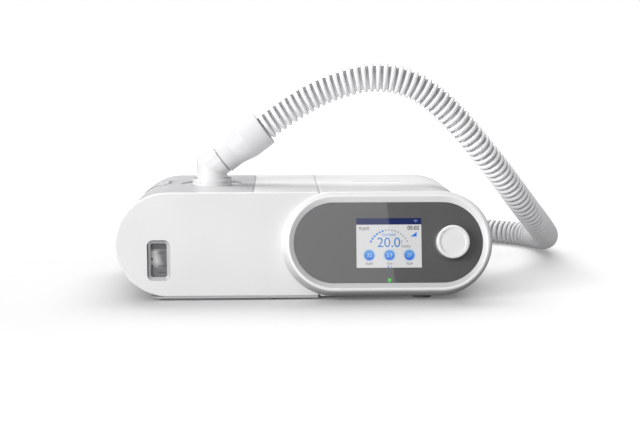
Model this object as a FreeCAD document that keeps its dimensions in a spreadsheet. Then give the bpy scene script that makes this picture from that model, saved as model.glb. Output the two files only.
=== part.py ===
import FreeCAD, Part
import math
import os
import Sketcher

# A bedside breathing-therapy machine with a heated water tank and a hose.
# Millimetres, +Z up, -Y towards the user. The origin is on the table under the middle of the machine.

Vector = FreeCAD.Vector
Rotation = FreeCAD.Rotation
doc = FreeCAD.newDocument("cpap_machine")

SIZES = [
    # casing
    ("width", 309.2, "left end of the tank to the flared right rim"),
    ("depth", 150, "front plate to back"),
    ("knob_reach", 20, "furthest point of the knob ahead of the front plate"),
    ("shell_radius", 43, "round ends of the casing"),
    ("foot_height", 3.3, "table to underside"),
    ("flare", 5.1, "how far the right rim stands out"),
    ("flare_depth", 30, "length over which the right side flares"),
    ("tank_length", 113.2, "left end to the seam of the lid"),
    ("unit_length", 142.6, "seam of the main unit to the right rim"),
    ("seam_gap", 0.4, "gap at the visible seams"),
    ("case_wall", 2.8, "wall of the main housing"),
    ("bay_wall", 2.5, "wall of the bay cover"),
    ("seam_round", 3, "rounded edge of the main housing at its seam"),
    ("edge_round", 1.2, "rounded outer edges"),
    ("front_plate", 4, "front plate thickness"),
    ("back_plate", 3, "rear panel thickness"),
    ("tray_height", 7, "base tray thickness"),
    ("plinth_height", 1.5, "plinth under the tray"),
    ("plinth_inset", 28.3, "left end to the plinth"),
    ("plinth_slope", 7, "slope of the plinth's left end"),
    ("plinth_back", 0.6, "front face to the plinth"),
    # window in the front plate
    ("window_inset", 25.9, "left end to the window opening"),
    ("window_width", 18.9, "window opening"),
    ("window_height", 33.7, "window opening"),
    ("window_bottom", 13.4, "underside of the casing to the window opening"),
    ("window_corner", 4.8, "corner radius of the opening"),
    ("window_rim", 2.85, "width of the window frame"),
    ("window_sink", 0.3, "window frame behind the front face"),
    ("window_edge", 0.4, "flat edge of the window frame"),
    ("frame_sink", 1.7, "inner edge of the window frame behind the front face"),
    ("lens_sink", 2.2, "lens behind the front face"),
    ("lens_lap", 1, "lap of the lens under its frame"),
    # feet
    ("foot_length", 95, "strip foot"),
    ("foot_width", 12, "strip foot"),
    ("foot_inset", 36.2, "left end to the strip foot"),
    ("foot_front", 2, "front face to the strip foot"),
    ("foot_back", 5, "front or back to the other feet"),
    ("foot_seat", 0.8, "depth of a foot in its seat"),
    ("foot_radius", 8, "round foot under the main housing"),
    ("foot_corner", 3, "corner radius of the strip feet"),
    # tank
    ("tank_gap", 0.4, "running gap round the tank"),
    ("tank_lift", 0.3, "tank above the tray"),
    ("tank_wall", 2.5, "tub wall"),
    ("tank_floor", 4, "tub floor"),
    ("lid_wall", 3, "lid wall"),
    ("lid_joint", 50, "table to the joint of lid and tub"),
    ("rail_width", 4, "guide rails on the tray"),
    ("rail_height", 2, "guide rails on the tray"),
    ("rail_inset", 14, "rails from the front and the back of the tank"),
    ("rail_gap", 0.3, "play of the rails in their grooves"),
    ("seal_width", 1.6, "rim seal"),
    ("seal_height", 3, "rim seal"),
    ("heater_radius", 40, "heater plate"),
    ("heater_depth", 3, "heater plate"),
    ("heater_inset", 66.6, "left end to the centre of the heater"),
    ("plate_radius", 38, "metal plate in the floor of the tub"),
    ("plate_depth", 1.2, "metal plate in the floor of the tub"),
    ("plate_land", 3, "lap of the floor over the metal plate"),
    ("inlet_pipe", 14, "air inlet inside the tank"),
    ("inlet_collar", 1.5, "collar of the air inlet against the wall"),
    ("collar_step", 1, "collar of the air inlet round its pipe"),
    ("seal_side", 6, "rim seal beside the middle line of the shoulder"),
    # port, elbow and cuffs
    ("port_inset", 75.6, "left end to the axis of the hose port"),
    ("port_y", 10, "axis of the hose port and of the air duct"),
    ("port_radius", 27, "round recess in the lid"),
    ("port_sink", 1.5, "round recess in the lid"),
    ("boss_radius", 15, "port boss under the lid"),
    ("boss_height", 15, "port boss under the lid"),
    ("spigot_radius", 11, "elbow spigot in the lid"),
    ("spigot_length", 13, "elbow spigot in the lid"),
    ("turn_play", 0.06, "radial play of the turning fits"),
    ("flange_radius", 17.3, "elbow flange"),
    ("flange_lift", 0.3, "flange above the recess"),
    ("ring_height", 2.9, "each of the two flange rings"),
    ("ring_groove", 0.5, "groove between the flange rings"),
    ("groove_depth", 0.8, "groove between the flange rings"),
    ("upper_step", 0.2, "upper flange ring within the lower one"),
    ("root_lap", 0.1, "joined forms run into each other"),
    ("seal_rise", 3, "end of the spigot to its seal groove"),
    ("seal_groove", 2, "seal groove in the spigot"),
    ("seal_sink", 0.8, "seal groove in the spigot"),
    ("seal_play", 0.05, "seal in its groove"),
    ("riser_radius", 13.35, "upright tube of the elbow"),
    ("flute_radius", 0.8, "upright flute in the side of the riser"),
    ("flute_turn", 54, "flute round from the front of the riser, degrees"),
    ("bend_rise", 13.8, "top of the casing to the bend of the elbow"),
    ("spout_slope", 37.2, "rise of the elbow's spout, degrees"),
    ("spout_radius", 12.1, "spout at the cuff"),
    ("spout_root", 13.75, "spout's cone where it starts inside the riser"),
    ("neck_radius", 11.4, "neck between the spout and the cuff"),
    ("neck_length", 1, "neck between the spout and the cuff"),
    ("elbow_bore", 9.5, "air way of the elbow"),
    ("cuff_start", 12.35, "bend to the cuff, along the spout"),
    ("spout_entry", 18, "spout inside the cuff"),
    ("cone_radius", 11, "22 mm connector bore"),
    ("cuff_small", 13.05, "narrow end of a cuff"),
    ("cuff_large", 15.95, "wide end of a cuff"),
    ("cuff_neck", 11.6, "narrow stretch of a cuff"),
    ("cuff_flare", 14, "flared stretch of a cuff"),
    ("cuff_length", 44.9, "whole cuff"),
    # hose
    ("hose_radius", 12.5, "corrugated hose"),
    ("hose_gap", 0.3, "hose from the turning cuff"),
    ("coil_x", 26, "centre of the coil on the table"),
    ("coil_y", 257, "centre of the coil on the table"),
    ("coil_outer", 163, "coil of hose, outside"),
    ("coil_inner", 104.5, "coil of hose, inside"),
    # control module, tilted back; its own frame lies on the rim
    ("module_width", 173.2, "foot of the bezel, left to right"),
    ("rim_tilt", 12, "lean of the rim, degrees"),
    ("rim_shift", 0.7, "middle of the rim beside the middle of the bezel's foot"),
    ("rim_rise", 3, "middle of the rim above the middle of the casing"),
    ("rim_reach", 10.3, "middle of the rim ahead of the front plate"),
    ("rim_end", 5, "end of the bezel's foot to the rim"),
    ("rim_side", 5.1, "top and bottom of the bezel's foot to the rim"),
    ("rim_land", 0.3, "flat top of the rim"),
    ("slope_end", 4.1, "end of the rim to the glass"),
    ("slope_side", 4.9, "top and bottom of the rim to the glass"),
    ("glass_sink", 2.5, "glass behind the rim"),
    ("glass_depth", 2, "glass thickness"),
    ("glass_play", 0.2, "glass in its seat"),
    ("glass_ledge", 3, "ledge behind the glass"),
    ("module_overlap", 6, "bezel over the opening in the front plate"),
    ("screen_x", 0.4, "middle of the screen from the middle of the rim"),
    ("screen_width", 58, "display module"),
    ("screen_height", 45, "display module"),
    ("screen_depth", 3, "display module"),
    ("board_end", 7.5, "end of the glass to the control board"),
    ("board_side", 6, "top and bottom of the glass to the control board"),
    ("chip_side", 12, "chips on the boards"),
    ("chip_height", 3, "chips and sockets on the boards"),
    ("solder_lap", 0.2, "parts on a board run into it"),
    ("chip_drop", 2, "chip of the control board below its middle"),
    ("chip_left", 14, "chip of the control board left of its middle"),
    ("socket_length", 26, "cable socket of the control board"),
    ("socket_width", 6, "cable socket of the control board"),
    ("socket_right", 17, "cable socket right of the board's middle"),
    ("socket_drop", 11, "cable socket below the board's middle"),
    ("board_depth", 1.6, "circuit boards"),
    ("board_sink", 10.7, "control board behind the rim"),
    ("light_edge", 2.4, "middle of the status light from the lower edge of the glass"),
    ("light_radius", 1.5, "status light"),
    ("light_leg", 1.5, "leg of the status light in front of the board"),
    ("light_lap", 2, "leg of the status light up the board"),
    ("knob_inset", 25.8, "end of the glass to the knob axis"),
    ("knob_radius", 13.5, "knob"),
    ("dish_radius", 10.85, "dished face of the knob"),
    ("dish_depth", 0.9, "dished face of the knob"),
    ("knob_lift", 1, "knob above the glass"),
    ("knob_web", 3, "thickness of the knob at its shaft"),
    ("shaft_radius", 3, "knob shaft"),
    ("shaft_clear", 1, "shaft in the hole of the glass"),
    ("encoder_side", 13, "encoder body"),
    ("encoder_gap", 0.3, "glass to the encoder"),
    ("encoder_cap", 1, "front wall of the encoder"),
    ("plunger_play", 0.1, "plunger behind the front wall"),
    ("plunger_radius", 5, "encoder plunger"),
    ("plunger_depth", 1.4, "encoder plunger"),
    ("press_play", 0.05, "shaft end to the plunger"),
    ("module_room", 13, "room behind the module in the seam wall"),
    # start bar
    ("bar_inset", 54, "seam of the main unit to the middle of the start bar"),
    ("bar_y", 16, "middle of the start bar"),
    ("bar_length", 45.2, "start bar"),
    ("bar_width", 7, "start bar"),
    ("bar_proud", 0.4, "start bar above the casing"),
    ("bar_play", 0.3, "start bar in its slot"),
    ("bar_lip", 2, "flange round the start bar"),
    ("bar_flange", 1.2, "flange thickness"),
    ("lip_play", 0.2, "flange of the start bar under the wall"),
    ("bar_stem", 1.5, "stem of the start bar, radius"),
    ("press_gap", 1, "stem of the start bar to its switch"),
    ("switch_drop", 9.3, "top of the casing to the switch board"),
    ("switch_side", 6, "start switch"),
    ("switch_height", 2.5, "start switch"),
    ("switch_pin", 1.2, "plunger of the start switch, radius"),
    ("switch_top", 2.9, "switch board to the top of the plunger"),
    ("switch_board", 32, "length of the switch board"),
    ("switch_front", 6, "start bar's middle to the front of the switch board"),
    ("switch_back", 13, "start bar's middle to the back of the switch board"),
    ("post_radius", 2.5, "posts that hold the switch board"),
    ("post_spread", 11, "middle of the start bar to a post, sideways"),
    ("post_back", 10, "middle of the start bar to the posts, backwards"),
    ("wall_lap", 0.5, "posts and frames run into their wall"),
    # release button on the shoulder of the lid
    ("release_turn", 21, "button direction from upright, degrees"),
    ("release_y", 17, "middle of the button"),
    ("release_width", 24, "button round the shoulder"),
    ("release_length", 40, "button front to back"),
    ("release_play", 0.25, "button in its well"),
    ("release_depth", 3.8, "button at its middle"),
    ("release_proud", 0.8, "rim of the button above the shoulder"),
    ("release_rim", 2.2, "rim of the button"),
    ("release_dish", 1, "dished face below the rim"),
    ("well_depth", 10, "well in the lid, from the outside"),
    ("well_wall", 1.5, "well wall"),
    ("stem_radius", 2.5, "button stem"),
    ("spring_span", 10, "half the length of the leaf spring"),
    ("spring_leaf", 0.6, "leaf spring thickness"),
    ("spring_width", 12, "leaf spring width"),
    ("spring_play", 0.1, "leaf spring to the well and the button"),
    # blower
    ("blower_inset", 69.5, "right end to the blower axis"),
    ("blower_y", 34, "blower axis"),
    ("duct_drop", 25.3, "top of the casing to the middle of the air duct"),
    ("scroll_start", 28, "first radius of the scroll"),
    ("scroll_step", 1.25, "growth of the scroll in a quarter turn"),
    ("scroll_half", 13, "half the height of the scroll casing"),
    ("scroll_wall", 2.5, "scroll casing"),
    ("eye_radius", 13, "inlet eye"),
    ("duct_bore", 9, "bore of the outlet and the duct"),
    ("duct_radius", 11, "outlet pipe"),
    ("outlet_reach", 40, "blower axis to the end of the outlet pipe"),
    ("impeller_radius", 26, "impeller"),
    ("impeller_height", 11, "impeller"),
    ("impeller_plate", 1.5, "back plate of the impeller"),
    ("blade_wall", 1.1, "impeller blade"),
    ("blade_count", 9, "impeller blades"),
    ("hub_radius", 5, "impeller hub"),
    ("axle_radius", 2, "motor shaft"),
    ("axle_clear", 1, "motor shaft in the casing"),
    ("motor_radius", 22, "motor"),
    ("motor_base", 12.1, "table to the motor"),
    ("motor_floor", 8, "solid end of the motor"),
    ("mount_wall", 4, "rubber mount"),
    ("mount_height", 26, "rubber mount"),
    ("sleeve_lap", 8, "duct over the outlet pipe"),
    ("ridge_height", 2, "ridges of the duct"),
    ("ridge_half", 3, "half the foot of a ridge"),
    ("ridge_count", 5, "ridges of the duct"),
    ("duct_inset", 3, "duct seal inside the bay cover"),
    ("lip_radius", 1.5, "lip of the duct seal round its bore"),
    ("lip_reach", 0.3, "lip of the duct seal ahead of the wall"),
    ("seal_head", 1, "head of the duct seal behind the wall"),
    ("seal_radius", 13, "duct seal"),
    ("board_stand", 3.9, "floor of the housing to the main board"),
    ("main_left", 8, "seam of the main unit to the main board"),
    ("main_front", 15, "front of the casing to the main board"),
    ("main_length", 72, "main board"),
    ("main_width", 42, "main board"),
    ("stand_radius", 3, "stand of the main board"),
    ("stand_inset", 5, "stand from the board's edges"),
    ("can_radius", 5, "capacitors"),
    ("can_height", 10, "capacitors"),
    ("can_left", 14, "board's left edge to the first capacitor"),
    ("can_step", 13, "from one capacitor to the next"),
    ("can_front", 12, "board's front edge to the capacitors"),
    ("main_chip_left", 30, "board's left edge to its chip"),
    ("main_chip_front", 20, "board's front edge to its chip"),
    ("relay_length", 20, "relay"),
    ("relay_width", 12, "relay"),
    ("relay_height", 7, "relay"),
    ("relay_right", 6, "board's right edge to the relay"),
    ("relay_front", 8, "board's front edge to the relay"),
    # back
    ("door_inset", 53.5, "right end to the middle of the filter door"),
    ("door_width", 46, "filter door"),
    ("door_height", 38, "filter door"),
    ("door_depth", 2, "filter door"),
    ("door_play", 0.4, "filter door in its opening"),
    ("knuckle_radius", 2.2, "door knuckle"),
    ("pin_radius", 1, "door pin"),
    ("lug_length", 6, "lugs that hold the door pin"),
    ("lug_web", 0.6, "lug into the wall behind it"),
    ("slot_width", 2.4, "slots of the filter door"),
    ("slot_end", 4, "slots from the door's top and bottom"),
    ("slot_pitch", 6, "slots of the filter door"),
    ("slot_start", 10, "door pin to the first slot"),
    ("slot_count", 6, "slots of the filter door"),
    ("filter_depth", 6, "filter bay behind the rear panel"),
    ("filter_gap", 2.2, "filter pad to the door"),
    ("filter_play", 0.5, "filter pad in its bay"),
    ("filter_corner", 3, "corner radius of the filter pad"),
    ("bay_border", 2, "filter bay round the door opening"),
    ("grid_edge", 3, "grid of the filter bay inside the door opening"),
    ("grid_bar", 2, "middle bar of the grid"),
    ("grid_depth", 1, "grid of the filter bay"),
    ("vent_length", 24, "vents above the power inlet"),
    ("vent_width", 2, "vents above the power inlet"),
    ("vent_pitch", 5, "vents above the power inlet"),
    ("vent_rise", 8, "middle of the casing to the first vent"),
    ("vent_count", 5, "vents above the power inlet"),
    ("inlet_inset", 24, "seam of the main unit to the power inlet"),
    ("inlet_rise", 22.7, "underside of the casing to the power inlet"),
    ("inlet_width", 16, "power inlet"),
    ("inlet_height", 13, "power inlet"),
    ("inlet_recess", 0.5, "power inlet behind the rear face"),
    ("inlet_floor", 2, "floor of the power inlet"),
    ("inlet_pin", 0.9, "contact pin, radius"),
    ("inlet_bore", 5, "power inlet socket"),
    ("inlet_deep", 11, "power inlet socket"),
    ("screw_radius", 1.5, "case screws"),
    ("head_radius", 2.8, "case screw heads"),
    ("head_depth", 1.6, "case screw heads"),
    ("head_play", 0.1, "case screw heads in their seats"),
    ("screw_length", 12, "case screws"),
    ("boss_wall", 2.5, "screw bosses"),
]


class Size:
    """A number together with the expression that gives it from the cells of the sheet."""

    def __init__(self, number, text):
        self.number = float(number)
        self.text = text

    def __add__(self, other):
        other = as_size(other)
        return Size(self.number + other.number, f"({self.text} + {other.text})")

    def __sub__(self, other):
        other = as_size(other)
        return Size(self.number - other.number, f"({self.text} - {other.text})")

    def __mul__(self, other):
        other = as_size(other)
        return Size(self.number * other.number, f"({self.text} * {other.text})")

    def __truediv__(self, other):
        other = as_size(other)
        return Size(self.number / other.number, f"({self.text} / {other.text})")

    def __neg__(self):
        return Size(-self.number, f"(0 - {self.text})")

    def __radd__(self, other):
        return as_size(other) + self

    def __rsub__(self, other):
        return as_size(other) - self

    def __rmul__(self, other):
        return as_size(other) * self


def as_size(value):
    return value if isinstance(value, Size) else Size(value, f"({float(value)})")


def root(size):
    return Size(math.sqrt(size.number), f"sqrt({size.text})")


def sine(size):
    return Size(math.sin(math.radians(size.number)), f"sin({size.text})")


def cosine(size):
    return Size(math.cos(math.radians(size.number)), f"cos({size.text})")


class Sheet:
    """The driving sizes, one aliased cell each, read back as attributes."""

    def __init__(self, rows):
        sheet = doc.addObject("Spreadsheet::Sheet", "sizes")
        for row, (alias, value, note) in enumerate(rows, 1):
            sheet.set(f"A{row}", note)
            sheet.set(f"B{row}", str(value))
            sheet.setAlias(f"B{row}", alias)
            setattr(self, alias, Size(value, f"sizes.{alias}"))
        doc.recompute()


S = Sheet(SIZES)


def bind(thing, path, size):
    """Sets a property from a size, and ties it to the sheet."""
    thing.setExpression(path, as_size(size).text)


# ---- outlines -------------------------------------------------------------------------------------

class Turn:
    """Marks an outline's corner that is followed by an arc about this centre."""

    def __init__(self, x, y, clockwise=False):
        self.x = x
        self.y = y
        self.clockwise = clockwise


class Disc:
    """A full circle in an outline list."""

    def __init__(self, x, y, radius):
        self.x = x
        self.y = y
        self.radius = radius


def rectangle(left, right, low, high):
    return [(left, low), (right, low), (right, high), (left, high)]


def rounded(left, right, low, high, radius):
    return [
        (left + radius, low), (right - radius, low, Turn(right - radius, low + radius)),
        (right, low + radius), (right, high - radius, Turn(right - radius, high - radius)),
        (right - radius, high), (left + radius, high, Turn(left + radius, high - radius)),
        (left, high - radius), (left, low + radius, Turn(left + radius, low + radius)),
    ]


def stadium(x, y, length, width):
    """A slot shape, long along the first axis."""
    radius = as_size(width) / 2
    reach = as_size(length) / 2 - radius
    return [
        (x - reach, y - radius), (x + reach, y - radius, Turn(x + reach, y)),
        (x + reach, y + radius), (x - reach, y + radius, Turn(x - reach, y)),
    ]


def tall_stadium(x, y, width, length):
    """A slot shape, long along the second axis."""
    radius = as_size(width) / 2
    reach = as_size(length) / 2 - radius
    return [
        (x + radius, y - reach), (x + radius, y + reach, Turn(x, y + reach)),
        (x - radius, y + reach), (x - radius, y - reach, Turn(x, y - reach)),
    ]


def dee(x, z, radius, square_end, low=None, high=None):
    """Half a stadium: one end round about (x, z), the other square, cut level at low and high."""
    side = -1 if as_size(square_end).number > as_size(x).number else 1
    low_x = x if low is None else x + side * root(radius * radius - (low - z) * (low - z))
    high_x = x if high is None else x + side * root(radius * radius - (high - z) * (high - z))
    low = z - radius if low is None else low
    high = z + radius if high is None else high
    if side < 0:
        return [(high_x, high, Turn(x, z)), (low_x, low), (square_end, low), (square_end, high)]
    return [(low_x, low, Turn(x, z)), (high_x, high), (square_end, high), (square_end, low)]


def vector(x, y):
    return Vector(as_size(x).number, as_size(y).number, 0)


def pin(sketch, geometry, point, axis, size):
    """Holds one coordinate of a sketch point at a size."""
    size = as_size(size)
    index = sketch.addConstraint(
        Sketcher.Constraint("Distance" + axis, -1, 1, geometry, point, size.number))
    bind(sketch, f"Constraints[{index}]", size)


def draw_disc(sketch, disc):
    centre = vector(disc.x, disc.y)
    geometry = sketch.addGeometry(Part.Circle(centre, Vector(0, 0, 1), as_size(disc.radius).number))
    pin(sketch, geometry, 3, "X", disc.x)
    pin(sketch, geometry, 3, "Y", disc.y)
    index = sketch.addConstraint(
        Sketcher.Constraint("Radius", geometry, as_size(disc.radius).number))
    bind(sketch, f"Constraints[{index}]", disc.radius)


def draw_outline(sketch, corners):
    """Draws a closed outline of lines and arcs, each corner held by its two coordinates."""
    edges = []
    for here, there in zip(corners, corners[1:] + corners[:1]):
        start, end = vector(here[0], here[1]), vector(there[0], there[1])
        if len(here) == 2:
            edges.append((sketch.addGeometry(Part.LineSegment(start, end)), 1, 2))
            continue
        turn = here[2]
        centre = vector(turn.x, turn.y)
        first, last = (end, start) if turn.clockwise else (start, end)
        from_angle = math.atan2(first.y - centre.y, first.x - centre.x)
        to_angle = math.atan2(last.y - centre.y, last.x - centre.x)
        if to_angle <= from_angle:
            to_angle += 2 * math.pi
        circle = Part.Circle(centre, Vector(0, 0, 1), (start - centre).Length)
        geometry = sketch.addGeometry(Part.ArcOfCircle(circle, from_angle, to_angle))
        edges.append((geometry, 2, 1) if turn.clockwise else (geometry, 1, 2))
    for number, (here, (geometry, first, last)) in enumerate(zip(corners, edges)):
        pin(sketch, geometry, first, "X", here[0])
        pin(sketch, geometry, first, "Y", here[1])
        after = edges[(number + 1) % len(edges)]
        sketch.addConstraint(Sketcher.Constraint("Coincident", geometry, last, after[0], after[1]))
        if len(here) == 3:
            there = corners[(number + 1) % len(corners)]
            chord = vector(there[0], there[1]) - vector(here[0], here[1])
            if abs(chord.x) < abs(chord.y):
                pin(sketch, geometry, 3, "X", here[2].x)
            else:
                pin(sketch, geometry, 3, "Y", here[2].y)


# ---- pieces ---------------------------------------------------------------------------------------

PLANES = {"X": ("YZ_Plane", 1), "Y": ("XZ_Plane", -1), "Z": ("XY_Plane", 1)}
pieces = {}


class Piece:
    """A PartDesign body built from profiles that are square to one of its axes."""

    def __init__(self, name):
        self.body = doc.addObject("PartDesign::Body", name)
        self.body.Label = name
        self.steps = 0
        pieces[name] = self.body

    def sketch(self, role, base, profiles, turn_axis=None, angle=0):
        self.steps += 1
        sketch = self.body.newObject("Sketcher::SketchObject", f"{self.body.Name}_plan{self.steps}")
        plane = next(item for item in self.body.Origin.OriginFeatures if item.Role == role)
        sketch.AttachmentSupport = [(plane, "")]
        sketch.MapMode = "FlatFace"
        if turn_axis is not None:
            sketch.AttachmentOffset = FreeCAD.Placement(
                Vector(0, 0, 0), Rotation(turn_axis, as_size(angle).number))
            bind(sketch, "AttachmentOffset.Rotation.Angle", angle)
        for axis, size in zip("xyz", base):
            bind(sketch, f"AttachmentOffset.Base.{axis}", size)
        for profile in profiles:
            if isinstance(profile, Disc):
                draw_disc(sketch, profile)
            else:
                draw_outline(sketch, profile)
        return sketch

    def feature(self, kind, sketch, **settings):
        self.steps += 1
        made = self.body.newObject(f"PartDesign::{kind}", f"{self.body.Name}_{kind}{self.steps}")
        made.Profile = sketch
        for name, value in settings.items():
            if isinstance(value, Size):
                bind(made, name, value)
            else:
                setattr(made, name, value)
        return made

    def add(self, axis, low, high, *profiles):
        role, sense = PLANES[axis]
        sketch = self.sketch(role, (0, 0, sense * as_size(low)), profiles)
        return self.feature("Pad", sketch, Reversed=sense < 0, Length=as_size(high) - low)

    def cut(self, axis, low, high, *profiles):
        role, sense = PLANES[axis]
        sketch = self.sketch(role, (0, 0, sense * as_size(low)), profiles)
        return self.feature("Pocket", sketch, Reversed=sense > 0, Length=as_size(high) - low)

    def turn(self, outline, cut=False):
        """Turns an outline of radius and height about the piece's own Z axis."""
        sketch = self.sketch("XZ_Plane", (0, 0, 0), [outline])
        kind = "Groove" if cut else "Revolution"
        return self.feature(kind, sketch, ReferenceAxis=(sketch, ["V_Axis"]), Angle=360.0)

    def round_edges(self, radius, choose, kind="Fillet"):
        """Rounds or chamfers the edges whose middle point passes the test."""
        doc.recompute()
        tip = self.body.Tip
        names = [f"Edge{number}" for number, edge in enumerate(tip.Shape.Edges, 1)
                 if choose(edge.valueAt((edge.FirstParameter + edge.LastParameter) / 2), edge)]
        made = self.body.newObject(f"PartDesign::{kind}", f"{self.body.Name}_{kind}")
        made.Base = (tip, names)
        bind(made, "Radius" if kind == "Fillet" else "Size", radius)

    def place(self, x, y, z, axis=Vector(0, 0, 1), angle=0):
        place(self.body, x, y, z, axis, angle)


def place(thing, x, y, z, axis=Vector(0, 0, 1), angle=0):
    """Puts a finished piece at its place, bound to the sheet."""
    x, y, z, angle = (as_size(item) for item in (x, y, z, angle))
    thing.Placement = FreeCAD.Placement(Vector(x.number, y.number, z.number), Rotation(axis, angle.number))
    for name, size in zip("xyz", (x, y, z)):
        bind(thing, f"Placement.Base.{name}", size)
    if angle.number:
        bind(thing, "Placement.Rotation.Angle", angle)


def near(first, second, within=0.02):
    return abs(first - as_size(second).number) < within


# ---- main lines of the casing ---------------------------------------------------------------------

back_y = (S.depth + S.knob_reach) / 2
front_y = back_y - S.depth
left_end = -S.width / 2
right_rim = S.width / 2
right_end = right_rim - S.flare
mid_z = S.foot_height + S.shell_radius
top_z = S.foot_height + 2 * S.shell_radius
left_centre = left_end + S.shell_radius
right_centre = right_end - S.shell_radius
lid_seam = left_end + S.tank_length
unit_seam = right_rim - S.unit_length
tray_top = S.foot_height + S.tray_height
plate_y = front_y + S.front_plate
rim_y = front_y - S.rim_reach
bezel_radius = S.shell_radius
bezel_x = right_rim - S.module_width / 2
rim_x = bezel_x + S.rim_shift
rim_z = mid_z + S.rim_rise
rim_width = S.module_width - 2 * S.rim_end
rim_height = 2 * S.shell_radius - 2 * S.rim_side
glass_width = rim_width - 2 * S.slope_end
glass_height = rim_height - 2 * S.slope_side
light_drop = glass_height / 2 - S.light_edge
board_width = glass_width - 2 * S.board_end
board_height = glass_height - 2 * S.board_side
knob_x = glass_width / 2 - S.knob_inset
heater_x = left_end + S.heater_inset
port_x = left_end + S.port_inset
bend_z = top_z + S.bend_rise
bar_x = unit_seam + S.bar_inset
blower_x = right_end - S.blower_inset
outlet_x = blower_x - S.outlet_reach
duct_z = top_z - S.duct_drop
door_x = right_end - S.door_inset
inlet_x = unit_seam + S.inlet_inset
inlet_z = S.foot_height + S.inlet_rise
main_board_z = S.foot_height + S.case_wall + S.board_stand


# ---- base, front plate and window -----------------------------------------------------------------

def make_tray():
    tray = Piece("base_tray")
    tray.add("Y", plate_y, back_y, dee(left_centre, mid_z, S.shell_radius, unit_seam - S.seam_gap,
                                       high=tray_top))
    foot_z = S.foot_height - S.plinth_height
    slope = left_end + S.plinth_inset
    tray.add("Y", front_y + S.plinth_back, back_y, [
        (slope + S.plinth_slope, foot_z), (unit_seam - S.seam_gap, foot_z),
        (unit_seam - S.seam_gap, S.foot_height), (slope, S.foot_height)])
    tray.cut("Z", tray_top - S.heater_depth, tray_top + 1, Disc(heater_x, S.port_y, S.heater_radius))
    for rail_y in rail_lines():
        tray.add("Z", tray_top - 1, tray_top + S.rail_height,
                 rectangle(heater_x - S.heater_radius, lid_seam - 1,
                           rail_y - S.rail_width / 2, rail_y + S.rail_width / 2))
    tray.cut("Z", 0, foot_z + S.foot_seat, *foot_strips())


def rail_lines():
    return plate_y + S.rail_inset, back_y - S.rail_inset


def foot_strips():
    left = left_end + S.foot_inset
    front = front_y + S.foot_front
    back = back_y - S.foot_back - S.foot_width
    return [rounded(left, left + S.foot_length, low, low + S.foot_width, S.foot_corner)
            for low in (front, back)]


def foot_discs():
    x = right_centre - S.foot_radius
    return [Disc(x, front_y + S.foot_back + S.foot_radius, S.foot_radius),
            Disc(x, back_y - S.foot_back - S.foot_radius, S.foot_radius)]


def make_feet():
    feet = Piece("feet")
    feet.add("Z", 0, S.foot_height - S.plinth_height + S.foot_seat, *foot_strips())
    feet.add("Z", 0, S.foot_height + S.foot_seat, *foot_discs())


def window_edges():
    left = left_end + S.window_inset
    low = S.foot_height + S.window_bottom
    return left, left + S.window_width, low, low + S.window_height


def make_front_plate():
    plate = Piece("front_plate")
    plate.add("Y", front_y, plate_y, dee(left_centre, mid_z, S.shell_radius, unit_seam - S.seam_gap))
    plate.cut("Y", front_y - 1, plate_y + 1, rounded(*window_edges(), S.window_corner))
    plate.cut("Y", front_y - 1, plate_y + 1,
              Disc(bezel_x - S.module_width / 2 + bezel_radius, mid_z,
                   bezel_radius - S.module_overlap))
    plate.round_edges(S.edge_round, lambda point, edge: near(point.y, front_y)
                      and (near(point.z, top_z) or near(point.z, S.foot_height)
                           or point.x < left_end.number + 1))


def make_window():
    left, right, low, high = window_edges()
    rim = S.window_rim
    lap = S.lens_lap
    inner = rounded(left + rim, right - rim, low + rim, high - rim, S.window_corner - rim)
    seat = rectangle(left + rim - lap, right - rim + lap, low + rim - lap, high - rim + lap)
    frame = Piece("window_frame")
    frame.add("Y", front_y + S.window_sink, plate_y, rounded(left, right, low, high, S.window_corner))
    edge = S.window_edge
    outer = frame.sketch("XZ_Plane", (0, 0, -(front_y + S.window_sink)),
                         [rounded(left + edge, right - edge, low + edge, high - edge,
                                  S.window_corner - edge)])
    slope = frame.sketch("XZ_Plane", (0, 0, -(front_y + S.frame_sink)), [inner])
    frame.feature("SubtractiveLoft", outer, Sections=[slope])
    frame.cut("Y", front_y - 1, plate_y + 1, inner)
    frame.cut("Y", front_y + S.lens_sink, plate_y + 1, seat)
    lens = Piece("window_lens")
    lens.add("Y", front_y + S.lens_sink, plate_y, seat)


def make_bay_cover():
    bay = Piece("bay_cover")
    right = unit_seam - S.seam_gap
    bay.add("Y", plate_y, back_y, rectangle(lid_seam, right, tray_top, top_z))
    bay.cut("Y", plate_y - 1, back_y - S.bay_wall,
            rectangle(lid_seam + S.bay_wall, right + 1, tray_top - 1, top_z - S.bay_wall))
    bay.cut("X", lid_seam - 1, lid_seam + S.bay_wall + 1, Disc(S.port_y, duct_z, S.seal_radius))


# ---- main housing ---------------------------------------------------------------------------------

def screw_places():
    """Four screws of the rear panel, each in a boss that runs into the housing's wall."""
    in_wall = S.case_wall + S.boss_wall
    left = unit_seam + in_wall
    reach = S.shell_radius - in_wall
    half = as_size(0.5)
    high = root(as_size(0.75))
    return [(left, S.foot_height + in_wall), (left, top_z - in_wall),
            (right_centre + reach * half, mid_z - reach * high),
            (right_centre + reach * half, mid_z + reach * high)]


def bar_slot(extra):
    return stadium(bar_x, S.bar_y, S.bar_length + 2 * extra, S.bar_width + 2 * extra)


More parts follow.
